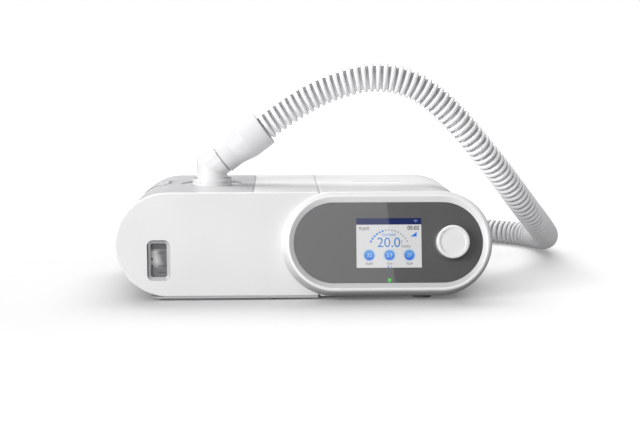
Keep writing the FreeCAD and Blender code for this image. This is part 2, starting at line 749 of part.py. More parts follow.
def make_main_housing():
    housing = Piece("main_housing")
    flare_y = front_y + S.flare_depth
    panel_y = back_y - S.back_plate
    outer = dee(right_centre, mid_z, S.shell_radius, unit_seam)
    housing.add("Y", flare_y, panel_y, outer)
    sections = []
    for share in (0, 1 / 3, 2 / 3, 1):
        shift = S.flare * share * share
        y = flare_y - S.flare_depth * share
        sections.append(housing.sketch("XZ_Plane", (0, 0, -y),
                                       [dee(right_centre + shift, mid_z, S.shell_radius, unit_seam)]))
    housing.feature("AdditiveLoft", sections[0], Sections=sections[1:])
    wall = S.case_wall
    housing.cut("Y", front_y - 1, panel_y + 1,
                dee(right_centre, mid_z, S.shell_radius - wall, unit_seam + wall))
    housing.cut("X", unit_seam - 1, unit_seam + wall + 1, Disc(S.port_y, duct_z, S.seal_radius + 1))
    housing.cut("X", unit_seam - 1, unit_seam + wall + 1,
                rectangle(front_y - 1, front_y + S.module_room,
                          S.foot_height + wall, top_z - wall))
    housing.cut("Z", top_z - wall - 1, top_z + 1, bar_slot(S.bar_play))
    housing.cut("Z", 0, S.foot_height + S.foot_seat, *foot_discs())
    boss_y = panel_y - S.screw_length
    housing.add("Y", boss_y, panel_y,
                *[Disc(x, z, S.screw_radius + S.boss_wall) for x, z in screw_places()])
    housing.cut("Y", boss_y - 1, panel_y + 1, *[Disc(x, z, S.screw_radius) for x, z in screw_places()])
    for post_x in (bar_x - S.post_spread, bar_x + S.post_spread):
        housing.add("Z", top_z - S.switch_drop, top_z - wall + S.wall_lap,
                    Disc(post_x, S.bar_y + S.post_back, S.post_radius))
    for x, y in board_posts():
        housing.add("Z", S.foot_height + wall - S.wall_lap, main_board_z, Disc(x, y, S.stand_radius))
    housing.round_edges(S.seam_round, lambda point, edge: near(point.x, unit_seam) and
                        (near(point.z, top_z) or near(point.z, S.foot_height)))


def board_edges():
    left = unit_seam + S.main_left
    front = front_y + S.main_front
    return left, left + S.main_length, front, front + S.main_width


def board_posts():
    left, right, front, back = board_edges()
    inset = S.stand_inset
    return [(x, y) for x in (left + inset, right - inset) for y in (front + inset, back - inset)]


def door_edges():
    left = door_x - S.door_width / 2
    low = mid_z - S.door_height / 2
    return left, left + S.door_width, low, low + S.door_height


def make_rear_panel():
    panel = Piece("rear_panel")
    panel_y = back_y - S.back_plate
    left, right, low, high = door_edges()
    play = S.door_play
    panel.add("Y", panel_y, back_y, dee(right_centre, mid_z, S.shell_radius, unit_seam))
    grid_y = panel_y - S.filter_depth - S.grid_depth
    border, edge, bar = S.bay_border, S.grid_edge, S.grid_bar / 2
    panel.add("Y", grid_y, panel_y + S.wall_lap,
              rectangle(left - border, right + border, low - border, high + border))
    panel.cut("Y", panel_y - S.filter_depth, back_y + 1,
              rectangle(left - play, right + play, low - play, high + play))
    panel.cut("Y", grid_y - 1, panel_y - S.filter_depth + 1,
              rectangle(left + edge, right - edge, low + edge, mid_z - bar),
              rectangle(left + edge, right - edge, mid_z + bar, high - edge))
    lug, length = S.knuckle_radius, S.lug_length
    for lug_low in (low - play, high - length):
        lug_high = lug_low + length + play
        panel.add("Z", lug_low, lug_high, Disc(left + lug, back_y - lug, lug))
        panel.add("Y", back_y - 2 * lug - S.lug_web, back_y - lug,
                  rectangle(left - play - S.wall_lap, left + 2 * lug, lug_low, lug_high))
    panel.cut("Z", low - border, high + 1, Disc(left + lug, back_y - lug, S.pin_radius))
    panel.cut("Y", panel_y - 1, back_y + 1, inlet_edges())
    vents = [stadium(inlet_x, mid_z + S.vent_rise + S.vent_pitch * number, S.vent_length, S.vent_width)
             for number in range(int(S.vent_count.number))]
    panel.cut("Y", panel_y - 1, back_y + 1, *vents)
    panel.cut("Y", panel_y - 1, back_y + 1, *[Disc(x, z, S.screw_radius) for x, z in screw_places()])
    panel.cut("Y", back_y - S.head_depth, back_y + 1,
              *[Disc(x, z, S.head_radius + S.head_play) for x, z in screw_places()])


def inlet_edges():
    wide, high = S.inlet_width / 2, S.inlet_height / 2
    return rectangle(inlet_x - wide, inlet_x + wide, inlet_z - high, inlet_z + high)


def make_screws():
    screws = Piece("case_screws")
    screws.add("Y", back_y - S.back_plate - S.screw_length + 1, back_y,
               *[Disc(x, z, S.screw_radius) for x, z in screw_places()])
    screws.add("Y", back_y - S.head_depth, back_y,
               *[Disc(x, z, S.head_radius) for x, z in screw_places()])


def make_filter_door():
    left, right, low, high = door_edges()
    door = Piece("filter_door")
    lug, play = S.knuckle_radius, S.door_play
    axis_x, axis_y = left + lug, back_y - lug
    face_y = back_y - S.door_depth
    knuckle_low, knuckle_high = low + S.lug_length + play, high - S.lug_length - play
    door.add("Z", knuckle_low, knuckle_high, Disc(axis_x, axis_y, lug))
    door.add("Y", face_y, back_y, rectangle(axis_x, right, knuckle_low, knuckle_high))
    door.add("Y", face_y, back_y, rectangle(axis_x + lug + play, right, low, high))
    slots = [tall_stadium(axis_x + S.slot_start + S.slot_pitch * number, mid_z, S.slot_width,
                          S.door_height - 2 * S.slot_end)
             for number in range(int(S.slot_count.number))]
    door.cut("Y", face_y - 1, back_y + 1, *slots)
    door.cut("Z", low - 1, high + 1, Disc(axis_x, axis_y, S.pin_radius + S.turn_play))
    rod = Piece("filter_door_pin")
    rod.add("Z", low - S.bay_border, high, Disc(axis_x, axis_y, S.pin_radius))
    pad = Piece("filter_pad")
    pad_y = back_y - S.back_plate - S.filter_depth
    inset = S.filter_play
    pad.add("Y", pad_y, pad_y + S.filter_depth - S.filter_gap,
            rounded(left + inset, right - inset, low + inset, high - inset, S.filter_corner))


def make_power_inlet():
    socket = Piece("power_inlet")
    mouth = back_y - S.inlet_recess
    floor = mouth - S.inlet_deep
    socket.add("Y", floor - S.inlet_floor, mouth, inlet_edges())
    socket.cut("Y", floor, mouth + 1, Disc(inlet_x, inlet_z, S.inlet_bore))
    socket.add("Y", floor - S.inlet_floor / 2, mouth - S.inlet_deep / 2,
               Disc(inlet_x, inlet_z, S.inlet_pin))


make_tray()
make_feet()
make_front_plate()
make_window()
make_bay_cover()
make_main_housing()
make_rear_panel()
make_screws()
make_filter_door()
make_power_inlet()


# ---- control module -------------------------------------------------------------------------------

X_AXIS = Vector(1, 0, 0)
Y_AXIS = Vector(0, 1, 0)


def rim_point(up, ahead):
    """Sketch offset in the XZ plane of a point up the rim's slope and ahead of the rim."""
    lean = S.rim_tilt
    y = rim_y + sine(lean) * up - cosine(lean) * ahead
    z = rim_z + cosine(lean) * up + sine(lean) * ahead
    return (rim_x, z, -y)


def make_bezel():
    """A ring that rounds over from the upright casing into the leaning rim."""
    bezel = Piece("front_bezel")
    sections = []
    for share in (0, 0.35, 0.65, 0.88, 1):
        inward = 1 - math.sqrt(1 - share * share)
        length = S.module_width + (rim_width - S.module_width) * inward
        height = 2 * bezel_radius + (rim_height - 2 * bezel_radius) * inward
        base = (bezel_x + (rim_x - bezel_x) * share, mid_z + (rim_z - mid_z) * share,
                -(front_y - S.rim_reach * share))
        sections.append(bezel.sketch("XZ_Plane", base, [stadium(0, 0, length, height)],
                                     X_AXIS, -S.rim_tilt * share))
    bezel.feature("AdditiveLoft", sections[0], Sections=sections[1:])
    land = S.rim_land
    mouth = bezel.sketch("XZ_Plane", rim_point(0, 0),
                         [stadium(0, 0, rim_width - 2 * land, rim_height - 2 * land)],
                         X_AXIS, -S.rim_tilt)
    throat = bezel.sketch("XZ_Plane", rim_point(0, -S.glass_sink),
                          [stadium(0, 0, glass_width, glass_height)], X_AXIS, -S.rim_tilt)
    bezel.feature("SubtractiveLoft", mouth, Sections=[throat])
    seat = bezel.sketch("XZ_Plane", rim_point(0, -S.glass_sink + 0.01),
                        [stadium(0, 0, glass_width, glass_height)], X_AXIS, -S.rim_tilt)
    bezel.feature("Pocket", seat, Length=S.glass_depth + 0.01)
    ledge = 2 * S.glass_ledge
    way = bezel.sketch("XZ_Plane", rim_point(0, -S.glass_sink),
                       [stadium(0, 0, glass_width - ledge, glass_height - ledge)],
                       X_AXIS, -S.rim_tilt)
    bezel.feature("Pocket", way, Length=2 * S.rim_reach + rim_height * sine(S.rim_tilt))
    notch_low = -light_drop - S.light_radius
    notch = bezel.sketch("XZ_Plane", rim_point(0, -S.glass_sink),
                         [rectangle(S.screen_x - S.light_radius, S.screen_x + S.light_radius,
                                    notch_low, notch_low + 2 * S.glass_ledge)],
                         X_AXIS, -S.rim_tilt)
    bezel.feature("Pocket", notch, Length=S.board_sink)


def place_on_rim(piece, x=0, z=0):
    """Stands a piece made about the middle of the rim at its place; its +Y goes into the machine."""
    lean = S.rim_tilt
    piece.place(rim_x + x, rim_y + sine(lean) * z, rim_z + cosine(lean) * z, X_AXIS, -lean)


def make_fascia():
    glass = Piece("fascia_glass")
    play = 2 * S.glass_play
    glass.add("Y", S.glass_sink, S.glass_sink + S.glass_depth,
              stadium(0, 0, glass_width - play, glass_height - play))
    glass.cut("Y", S.glass_sink - 1, S.glass_sink + S.glass_depth + 1,
              Disc(knob_x, 0, S.shaft_radius + S.shaft_clear),
              Disc(S.screen_x, -light_drop, S.light_radius))
    place_on_rim(glass)


def make_display():
    back = S.board_sink - S.board_depth
    panel = Piece("display_panel")
    wide, high = S.screen_width / 2, S.screen_height / 2
    panel.add("Y", back - S.screen_depth, back,
              rectangle(S.screen_x - wide, S.screen_x + wide, -high, high))
    place_on_rim(panel)
    board = Piece("control_board")
    board.add("Y", back, S.board_sink, stadium(0, 0, board_width, board_height))
    chip = S.chip_side / 2
    wide, high = S.socket_length / 2, S.socket_width / 2
    board.add("Y", S.board_sink - S.solder_lap, S.board_sink + S.chip_height,
              rectangle(-S.chip_left - chip, chip - S.chip_left, -S.chip_drop - chip, chip - S.chip_drop),
              rectangle(S.socket_right - wide, S.socket_right + wide,
                        -S.socket_drop - high, high - S.socket_drop))
    place_on_rim(board)
    light = Piece("status_light")
    light.add("Y", S.glass_sink, back, Disc(S.screen_x, -light_drop, S.light_radius))
    light.add("Y", back - S.light_leg, back,
              rectangle(S.screen_x - S.light_radius, S.screen_x + S.light_radius,
                        -light_drop, S.light_lap - board_height / 2))
    place_on_rim(light)


def encoder_depths():
    """Front of the encoder, front of its plunger and the board behind it, from the rim."""
    board = S.board_sink - S.board_depth
    front = S.glass_sink + S.glass_depth + S.encoder_gap
    return front, front + S.encoder_cap, board


def make_encoder():
    front, inside, board = encoder_depths()
    half = S.encoder_side / 2
    casing = Piece("encoder_body")
    casing.add("Y", front, board, rectangle(-half, half, -half, half))
    casing.cut("Y", inside, board + 1, Disc(0, 0, S.plunger_radius + S.turn_play))
    casing.cut("Y", front - 1, board + 1, Disc(0, 0, S.shaft_radius + S.turn_play))
    place_on_rim(casing, knob_x)
    plunger = Piece("encoder_plunger")
    push = inside + S.plunger_play
    plunger.add("Y", push, push + S.plunger_depth, Disc(0, 0, S.plunger_radius))
    place_on_rim(plunger, knob_x)
    shaft = Piece("knob_shaft")
    shaft.add("Y", knob_face() + S.knob_web, push - S.press_play, Disc(0, 0, S.shaft_radius))
    place_on_rim(shaft, knob_x)


def knob_face():
    """Face of the knob behind the rim (negative: ahead of it), set by how far the knob reaches."""
    ahead = S.knob_reach - S.rim_reach - S.knob_radius * sine(S.rim_tilt)
    return -ahead / cosine(S.rim_tilt)


def make_knob():
    knob = Piece("knob")
    face = knob_face()
    back = S.glass_sink - S.knob_lift
    knob.add("Y", face, back, Disc(0, 0, S.knob_radius))
    knob.cut("Y", face - 1, face + S.dish_depth, Disc(0, 0, S.dish_radius))
    knob.cut("Y", face + S.knob_web, back + 1, Disc(0, 0, S.shaft_radius))
    knob.round_edges(S.edge_round, lambda point, edge: near(point.y, face)
                     and near(math.hypot(point.x, point.z), S.knob_radius))
    place_on_rim(knob, knob_x)


def make_start_bar():
    lip = top_z - S.case_wall - S.lip_play
    board_z = top_z - S.switch_drop
    touch_z = board_z + S.switch_top
    bar = Piece("start_bar")
    bar.add("Z", lip - S.bar_flange, top_z + S.bar_proud, bar_slot(0))
    bar.add("Z", lip - S.bar_flange, lip, bar_slot(S.bar_lip))
    bar.add("Z", touch_z + S.press_gap, lip, Disc(bar_x, S.bar_y, S.bar_stem))
    bar.round_edges(S.bar_proud * 0.8, lambda point, edge: near(point.z, top_z + S.bar_proud))
    switch = Piece("start_switch")
    wide, side = S.switch_board / 2, S.switch_side / 2
    switch.add("Z", board_z - S.board_depth, board_z,
               rectangle(bar_x - wide, bar_x + wide, S.bar_y - S.switch_front, S.bar_y + S.switch_back))
    switch.add("Z", board_z - S.solder_lap, board_z + S.switch_height,
               rectangle(bar_x - side, bar_x + side, S.bar_y - side, S.bar_y + side))
    switch.add("Z", board_z, touch_z, Disc(bar_x, S.bar_y, S.switch_pin))


# ---- tank -----------------------------------------------------------------------------------------

tank_front = plate_y + S.tank_gap
tank_right = lid_seam - S.tank_gap
tank_low = tray_top + S.tank_lift


def make_tub():
    tub = Piece("tank_tub")
    wall = S.tank_wall
    tub.add("Y", tank_front, back_y, dee(left_centre, mid_z, S.shell_radius, tank_right,
                                         low=tank_low, high=S.lid_joint))
    tub.cut("Y", tank_front + wall, back_y - wall,
            dee(left_centre, mid_z, S.shell_radius - wall, tank_right - wall,
                low=tank_low + S.tank_floor, high=S.lid_joint + 1))
    tub.cut("Z", tank_low - 1, tank_low + S.plate_depth, Disc(heater_x, S.port_y, S.plate_radius))
    tub.cut("Z", tank_low, tank_low + S.tank_floor + 1,
            Disc(heater_x, S.port_y, S.plate_radius - S.plate_land))
    half = S.rail_width / 2 + S.rail_gap
    for rail_y in rail_lines():
        tub.cut("Z", tank_low - 1, tray_top + S.rail_height + S.rail_gap,
                rectangle(left_end, tank_right + 1, rail_y - half, rail_y + half))
    plate = Piece("tank_heat_plate")
    plate.add("Z", tank_low, tank_low + S.plate_depth, Disc(heater_x, S.port_y, S.plate_radius))
    heater = Piece("heater_plate")
    heater.add("Z", tray_top - S.heater_depth, tray_top, Disc(heater_x, S.port_y, S.heater_radius))


def lean_frame(distance):
    """Offset of a sketch square to the release button's direction, out from the shoulder's axis."""
    lean = S.release_turn
    return (left_centre - sine(lean) * distance, S.release_y, mid_z + cosine(lean) * distance)


def make_lid():
    lid = Piece("tank_lid")
    wall = S.lid_wall
    lid.add("Y", tank_front, back_y, dee(left_centre, mid_z, S.shell_radius, tank_right, low=S.lid_joint))
    lid.cut("Y", tank_front + wall, back_y - wall,
            dee(left_centre, mid_z, S.shell_radius - wall, tank_right - wall, low=S.lid_joint - 1))
    lid.add("Z", top_z - S.boss_height, top_z - 1, Disc(port_x, S.port_y, S.boss_radius))
    lid.cut("Z", top_z - S.port_sink, top_z + 1, Disc(port_x, S.port_y, S.port_radius))
    lid.cut("Z", top_z - S.boss_height - 1, top_z + 1,
            Disc(port_x, S.port_y, S.spigot_radius + S.turn_play))
    lid.cut("X", tank_right - wall - 1, tank_right + 1, Disc(S.port_y, duct_z, S.duct_radius))
    outer = S.shell_radius
    width, length = S.release_width, S.release_length
    around = 2 * (S.release_play + S.well_wall)
    well = lid.sketch("XY_Plane", lean_frame(outer - S.well_depth - S.well_wall),
                      [tall_stadium(0, 0, width + around, length + around)], Y_AXIS, -S.release_turn)
    lid.feature("Pad", well, Length=S.well_depth + S.well_wall - 2)
    play = 2 * S.release_play
    mouth = lid.sketch("XY_Plane", lean_frame(outer - S.well_depth),
                       [tall_stadium(0, 0, width + play, length + play)], Y_AXIS, -S.release_turn)
    lid.feature("Pocket", mouth, Reversed=True, Length=S.well_depth + 5)
    hole = lid.sketch("XY_Plane", lean_frame(outer - S.well_depth - S.well_wall - 1),
                      [Disc(0, 0, S.stem_radius + S.turn_play)], Y_AXIS, -S.release_turn)
    lid.feature("Pocket", hole, Reversed=True, Length=S.well_wall + 3)
    lid.round_edges(S.edge_round, lambda point, edge: near(point.x, tank_right) and near(point.z, top_z))


def place_on_shoulder(thing):
    place(thing, left_centre, S.release_y, mid_z, Y_AXIS, -S.release_turn)


def make_release():
    button = Piece("release_button")
    outer = S.shell_radius
    low = outer - S.release_depth
    button.add("Z", low, outer + 2, tall_stadium(0, 0, S.release_width, S.release_length))
    face = outer + S.release_proud
    button.cut("Y", -S.release_length, S.release_length, Disc(0, 0, 2 * outer), Disc(0, 0, face))
    inside = 2 * S.release_rim
    dish = button.sketch("XY_Plane", (0, 0, outer - S.release_dish),
                         [tall_stadium(0, 0, S.release_width - inside, S.release_length - inside)])
    button.feature("Pocket", dish, Reversed=True, Length=S.release_depth)
    button.round_edges(S.release_proud / 2, lambda point, edge:
                       near(math.hypot(point.x, point.z), face, 0.3) and edge.Length > 3)
    button.add("Z", outer - S.well_depth - S.well_wall - 1, low + 1, Disc(0, 0, S.stem_radius))
    place_on_shoulder(button.body)
    make_release_spring()


def make_release_spring():
    """An arched leaf on the floor of the well; the button's stem passes through it."""
    spring = Piece("release_spring")
    outer = S.shell_radius
    low = outer - S.well_depth + S.spring_play
    high = outer - S.release_depth - S.spring_play
    rise, span, leaf = high - low, S.spring_span, S.spring_leaf
    drop = (span * span - rise * rise) / (2 * rise)
    centre = low - drop
    spring.add("Y", -S.spring_width / 2, S.spring_width / 2, [
        (span, low, Turn(0, centre)), (-span, low), (leaf - span, low, Turn(0, centre, True)),
        (span - leaf, low),
    ])
    spring.cut("Z", low - 1, high + 1, Disc(0, 0, S.stem_radius + 1))
    place_on_shoulder(spring.body)


def make_tank_fittings():
    gasket = Piece("tank_seal")
    wall = S.lid_wall
    left = left_centre - root((S.shell_radius - wall) * (S.shell_radius - wall)
                              - (S.seal_height + S.seal_side) * (S.seal_height + S.seal_side))
    outer = (left, tank_right - wall, tank_front + wall, back_y - wall)
    width = S.seal_width
    gasket.add("Z", S.lid_joint - S.seal_height / 2, S.lid_joint + S.seal_height / 2, rectangle(*outer))
    gasket.cut("Z", S.lid_joint - S.seal_height, S.lid_joint + S.seal_height,
               rectangle(left + width, tank_right - wall - width,
                         tank_front + wall + width, back_y - wall - width))
    inlet = Piece("tank_inlet")
    inside = tank_right - wall
    inlet.add("X", inside - S.inlet_pipe, tank_right, Disc(S.port_y, duct_z, S.duct_radius))
    inlet.add("X", inside - S.inlet_collar, inside, Disc(S.port_y, duct_z, S.duct_radius + S.collar_step))
    inlet.cut("X", inside - S.inlet_pipe - 1, tank_right + 1, Disc(S.port_y, duct_z, S.duct_bore))


# ---- elbow and cuffs ------------------------------------------------------------------------------

def make_elbow():
    """The piece that turns in the port: spigot, two flange rings, riser and leaning spout."""
    elbow = Piece("elbow")
    port_floor = top_z - S.port_sink
    flange = port_floor + S.flange_lift
    middle = flange + S.ring_height
    ring_top = middle + S.ring_groove + S.ring_height
    tilt = S.spout_slope
    spout_turn = 90 - tilt
    reach = 3 * S.riser_radius

    def along(distance, radius):
        """A circle square to the spout, at a distance from the bend."""
        return elbow.sketch("XY_Plane", (cosine(tilt) * distance, 0, bend_z + sine(tilt) * distance),
                            [Disc(0, 0, radius)], Y_AXIS, spout_turn)

    # the cone of the spout, cut off at the mitre, and the riser run up against it
    elbow.feature("AdditiveLoft", along(-S.cuff_start, S.spout_root),
                  Sections=[along(S.cuff_start - S.neck_length, S.spout_radius)])
    mitre = elbow.sketch("XY_Plane", (0, 0, bend_z), [rectangle(-reach, reach, -reach, reach)],
                         Y_AXIS, spout_turn / 2)
    cut = elbow.feature("Pocket", mitre, Length=reach)
    doc.recompute()
    slope = math.radians(spout_turn.number / 2)
    square = Vector(math.sin(slope), 0, math.cos(slope))
    face = next(f"Face{number}" for number, item in enumerate(cut.Shape.Faces, 1)
                if item.Surface.TypeId == "Part::GeomPlane"
                and abs(item.normalAt(0, 0).dot(square)) > 0.9999)
    foot = elbow.sketch("XY_Plane", (0, 0, flange), [Disc(0, 0, S.riser_radius)])
    elbow.feature("Pad", foot, Type="UpToFace", UpToFace=(cut, [face]))
    elbow.feature("Pad", along(-S.cuff_start / 2, S.neck_radius), Length=S.cuff_start * 1.5)
    elbow.feature("Pad", along(S.cuff_start, S.cone_radius), Length=S.spout_entry)
    elbow.add("Z", port_floor - S.spigot_length, flange + 1, Disc(0, 0, S.spigot_radius))
    elbow.add("Z", flange, middle, Disc(0, 0, S.flange_radius))
    elbow.add("Z", middle - S.root_lap, middle + S.ring_groove + S.root_lap,
              Disc(0, 0, S.flange_radius - S.groove_depth))
    elbow.add("Z", middle + S.ring_groove, ring_top, Disc(0, 0, S.flange_radius - S.upper_step))
    elbow.round_edges(S.edge_round / 2, lambda point, edge: near(point.z, ring_top)
                      and math.hypot(point.x, point.y) > S.riser_radius.number + 1)
    flute_x = S.riser_radius * sine(S.flute_turn)
    flute_top = bend_z - flute_x * sine(spout_turn / 2) / cosine(spout_turn / 2)
    elbow.cut("Z", ring_top, flute_top,
              Disc(flute_x, -S.riser_radius * cosine(S.flute_turn), S.flute_radius))
    elbow.cut("Z", port_floor - S.spigot_length - 1, bend_z, Disc(0, 0, S.elbow_bore))
    elbow.feature("Pocket", along(0, S.elbow_bore), Reversed=True,
                  Length=S.cuff_start + S.spout_entry + 1)
    elbow.place(port_x, S.port_y, 0)
    ring = Piece("elbow_seal")
    groove_z = port_floor - S.spigot_length + S.seal_rise
    floor = S.spigot_radius - S.seal_sink
    elbow.cut("Z", groove_z, groove_z + S.seal_groove, Disc(0, 0, S.spigot_radius + 1), Disc(0, 0, floor))
    ring.add("Z", groove_z + S.seal_play, groove_z + S.seal_groove - S.seal_play,
             Disc(0, 0, S.spigot_radius - S.seal_play / 2), Disc(0, 0, floor))
    ring.place(port_x, S.port_y, 0)


def make_cuff(name):
    """A rubber cuff along its own Z, narrow end at 0."""
    cuff = Piece(name)
    neck, flare = S.cuff_neck, S.cuff_neck + S.cuff_flare
    inner = S.cone_radius
    cuff.turn([(inner, 0), (S.cuff_small, 0), (S.cuff_small, neck), (S.cuff_large, flare),
               (S.cuff_large, S.cuff_length), (inner, S.cuff_length)])
    cuff.round_edges(S.edge_round, lambda point, edge: near(point.z, S.cuff_length)
                     and near(math.hypot(point.x, point.y), S.cuff_large))
    return cuff


def make_near_cuff():
    cuff = make_cuff("hose_cuff")
    tilt = S.spout_slope
    cuff.place(port_x + cosine(tilt) * S.cuff_start, S.port_y,
               bend_z + sine(tilt) * S.cuff_start, Y_AXIS, 90 - tilt)


make_bezel()
make_fascia()
make_display()
make_encoder()
make_knob()
make_start_bar()
make_tub()
make_lid()
make_release()
make_tank_fittings()
make_elbow()
make_near_cuff()


# ---- blower and air duct --------------------------------------------------------------------------

scroll_low = duct_z - S.scroll_half
scroll_high = duct_z + S.scroll_half


def scroll(extra):
    """Four quarter arcs that grow clockwise round the blower axis to a flat tongue."""
    x, y, step = blower_x, S.blower_y, S.scroll_step
    first = S.scroll_start + extra
    radii = [first + step * quarter for quarter in range(4)]
    return [
        (x, y - radii[0], Turn(x, y, True)),
        (x - radii[0], y, Turn(x + step, y, True)),
        (x + step, y + radii[1], Turn(x + step, y - step, True)),
        (x + step + radii[2], y - step, Turn(x, y - step, True)),
        (x, y - step - radii[3]),
    ]


def make_scroll():
    casing = Piece("blower_casing")
    wall = S.scroll_wall
    casing.add("Z", scroll_low, scroll_high, scroll(wall))
    casing.add("X", outlet_x, blower_x, Disc(S.port_y, duct_z, S.duct_radius))
    casing.cut("Z", scroll_low + wall, scroll_high - wall, scroll(0))
    casing.cut("X", outlet_x - 1, blower_x, Disc(S.port_y, duct_z, S.duct_bore))
    casing.cut("Z", scroll_high - wall - 1, scroll_high + 1, Disc(blower_x, S.blower_y, S.eye_radius))
    casing.cut("Z", scroll_low - 1, scroll_low + wall + 1,
               Disc(blower_x, S.blower_y, S.axle_radius + S.axle_clear))


def make_motor():
    motor = Piece("blower_motor")
    motor.add("Z", S.motor_base, scroll_low, Disc(0, 0, S.motor_radius))
    motor.cut("Z", S.motor_base + S.motor_floor, scroll_low + 1, Disc(0, 0, S.axle_radius + S.turn_play))
    motor.place(blower_x, S.blower_y, 0)
    mount = Piece("blower_mount")
    floor = S.foot_height + S.case_wall
    mount.add("Z", floor, floor + S.mount_height, Disc(0, 0, S.motor_radius + S.mount_wall))
    mount.cut("Z", S.motor_base, floor + S.mount_height + 1, Disc(0, 0, S.motor_radius))
    mount.place(blower_x, S.blower_y, 0)
    axle = Piece("motor_shaft")
    axle.add("Z", S.motor_base + S.motor_floor + S.axle_clear, duct_z, Disc(0, 0, S.axle_radius))
    axle.place(blower_x, S.blower_y, 0)


def make_impeller():
    """A back plate with a hub and backward-curved blades, each a strip between two arcs."""
    wheel = Piece("impeller")
    low = duct_z - S.impeller_height / 2
    high = low + S.impeller_height
    wheel.add("Z", low, low + S.impeller_plate, Disc(0, 0, S.impeller_radius))
    wheel.add("Z", low, high, Disc(0, 0, S.hub_radius))
    reach = S.impeller_radius - 1
    middle = reach / 2
    drop = middle * 0.8
    thick = S.blade_wall
    blade_plan = [
        (S.hub_radius - 1, as_size(0), Turn(middle, drop)),
        (reach, as_size(0)),
        (reach, thick, Turn(middle, drop + thick, True)),
        (S.hub_radius - 1, thick),
    ]
    blade = wheel.add("Z", low + 1, high, blade_plan)
    pattern = wheel.body.newObject("PartDesign::PolarPattern", "impeller_blades")
    pattern.Originals = [blade]
    axis = next(item for item in wheel.body.Origin.OriginFeatures if item.Role == "Z_Axis")
    pattern.Axis = (axis, [""])
    pattern.Angle = 360
    bind(pattern, "Occurrences", S.blade_count)
    wheel.body.Tip = pattern
    wheel.cut("Z", low - 1, duct_z, Disc(0, 0, S.axle_radius))
    wheel.place(blower_x, S.blower_y, 0)


def make_duct():
    """Rubber bellows from the outlet pipe to the wall of the bay, and the seal in that wall."""
    seal_end = lid_seam + S.bay_wall + S.duct_inset
    length = outlet_x - seal_end
    duct = Piece("air_duct")
    outer, half = S.duct_radius, S.ridge_half
    pitch = length / (S.ridge_count + 1)
    sleeve = outer + S.ridge_height
    outline = [(S.duct_bore, 0), (outer, 0)]
    for number in range(int(S.ridge_count.number)):
        middle = pitch * (number + 1)
        outline += [(outer, middle - half), (sleeve, middle), (outer, middle + half)]
    outline += [(outer, length - half), (sleeve, length), (sleeve, length + S.sleeve_lap),
                (outer, length + S.sleeve_lap), (outer, length), (S.duct_bore, length)]
    duct.turn(outline)
    duct.place(seal_end, S.port_y, duct_z, Y_AXIS, 90)
    seal = Piece("duct_seal")
    thick = seal_end - lid_seam
    lip, head = S.duct_bore + S.lip_radius, S.seal_radius + S.seal_head
    seal.turn([(S.duct_bore, -S.lip_reach), (lip, -S.lip_reach), (S.seal_radius, 0),
               (S.seal_radius, S.bay_wall), (head, S.bay_wall), (head, thick), (S.duct_bore, thick)])
    seal.place(lid_seam, S.port_y, duct_z, Y_AXIS, 90)


def make_main_board():
    board = Piece("main_board")
    left, right, front, back = board_edges()
    top = main_board_z + S.board_depth
    foot = top - S.solder_lap
    board.add("Z", main_board_z, top, rectangle(left, right, front, back))
    can_x, can_y = left + S.can_left, front + S.can_front
    board.add("Z", foot, top + S.can_height,
              Disc(can_x, can_y, S.can_radius), Disc(can_x + S.can_step, can_y, S.can_radius))
    chip_x, chip_y = left + S.main_chip_left, front + S.main_chip_front
    board.add("Z", foot, top + S.chip_height,
              rectangle(chip_x, chip_x + S.chip_side, chip_y, chip_y + S.chip_side))
    relay_x, relay_y = right - S.relay_right, front + S.relay_front
    board.add("Z", foot, top + S.relay_height,
              rectangle(relay_x - S.relay_width, relay_x, relay_y, relay_y + S.relay_length))


# ---- hose -----------------------------------------------------------------------------------------

# Middle line of the hose from the cuff's mouth down to the coil.
HOSE_ROUTE = [
    (-7.9, 10, 157), (24, 11, 173.5), (63, 15, 183.5), (100, 26, 176), (133, 43, 151.5),
    (164, 65, 119), (193, 91, 87), (223, 121, 53), (244, 143, 31), (259, 168, 17),
    (259, 197, 12.5), (242, 221, 12.5), (211, 238, 12.5), (183, 260, 12.5), (170, 291, 12.5),
    (162, 320.4, 12.5),
]

# Middle line of the free end, which rises out of the coil and crosses over it to the far cuff.
TAIL_ROUTE = [(80, 366, 14), (42, 377.5, 24), (4, 377, 36), (-26, 377, 41.3), (-52, 377, 41.3)]


def rounded_path(points):
    """Straight runs joined by tangent arcs, as large as the shorter run beside each corner allows."""
    edges = []
    here = points[0]
    for before, corner, after in zip(points, points[1:], points[2:]):
        back, ahead = before - corner, after - corner
        half_turn = (math.pi - back.getAngle(ahead)) / 2
        reach = 0.45 * min(back.Length, ahead.Length)
        radius = reach / math.tan(half_turn)
        start = corner + back.normalize() * reach
        end = corner + ahead.normalize() * reach
        inward = (back + ahead).normalize()
        middle = corner + inward * (radius / math.cos(half_turn) - radius)
        edges += [Part.LineSegment(here, start).toShape(), Part.Arc(start, middle, end).toShape()]
        print("  hose bend", [round(value) for value in corner], "radius", round(radius))
        here = end
    edges.append(Part.LineSegment(here, points[-1]).toShape())
    return Part.Wire(edges)


def hose_along(points):
    """A plain tube of the hose's outer size along a route, checked against length times section."""
    path = rounded_path(points)
    radius = S.hose_radius.number
    ring = Part.Wire(Part.makeCircle(radius, points[0], points[1] - points[0]))
    tube = path.makePipeShell([ring], True, False)
    share = tube.Volume / (math.pi * radius * radius * path.Length)
    print(f"  hose length {path.Length:.0f} mm, volume over section times length {share:.4f}")
    if abs(share - 1) > 0.01:
        raise RuntimeError("the hose's volume is off")
    return tube


def solid_piece(name, shape):
    piece = doc.addObject("Part::Feature", name)
    piece.Shape = shape
    piece.Label = name
    pieces[name] = piece
    return piece


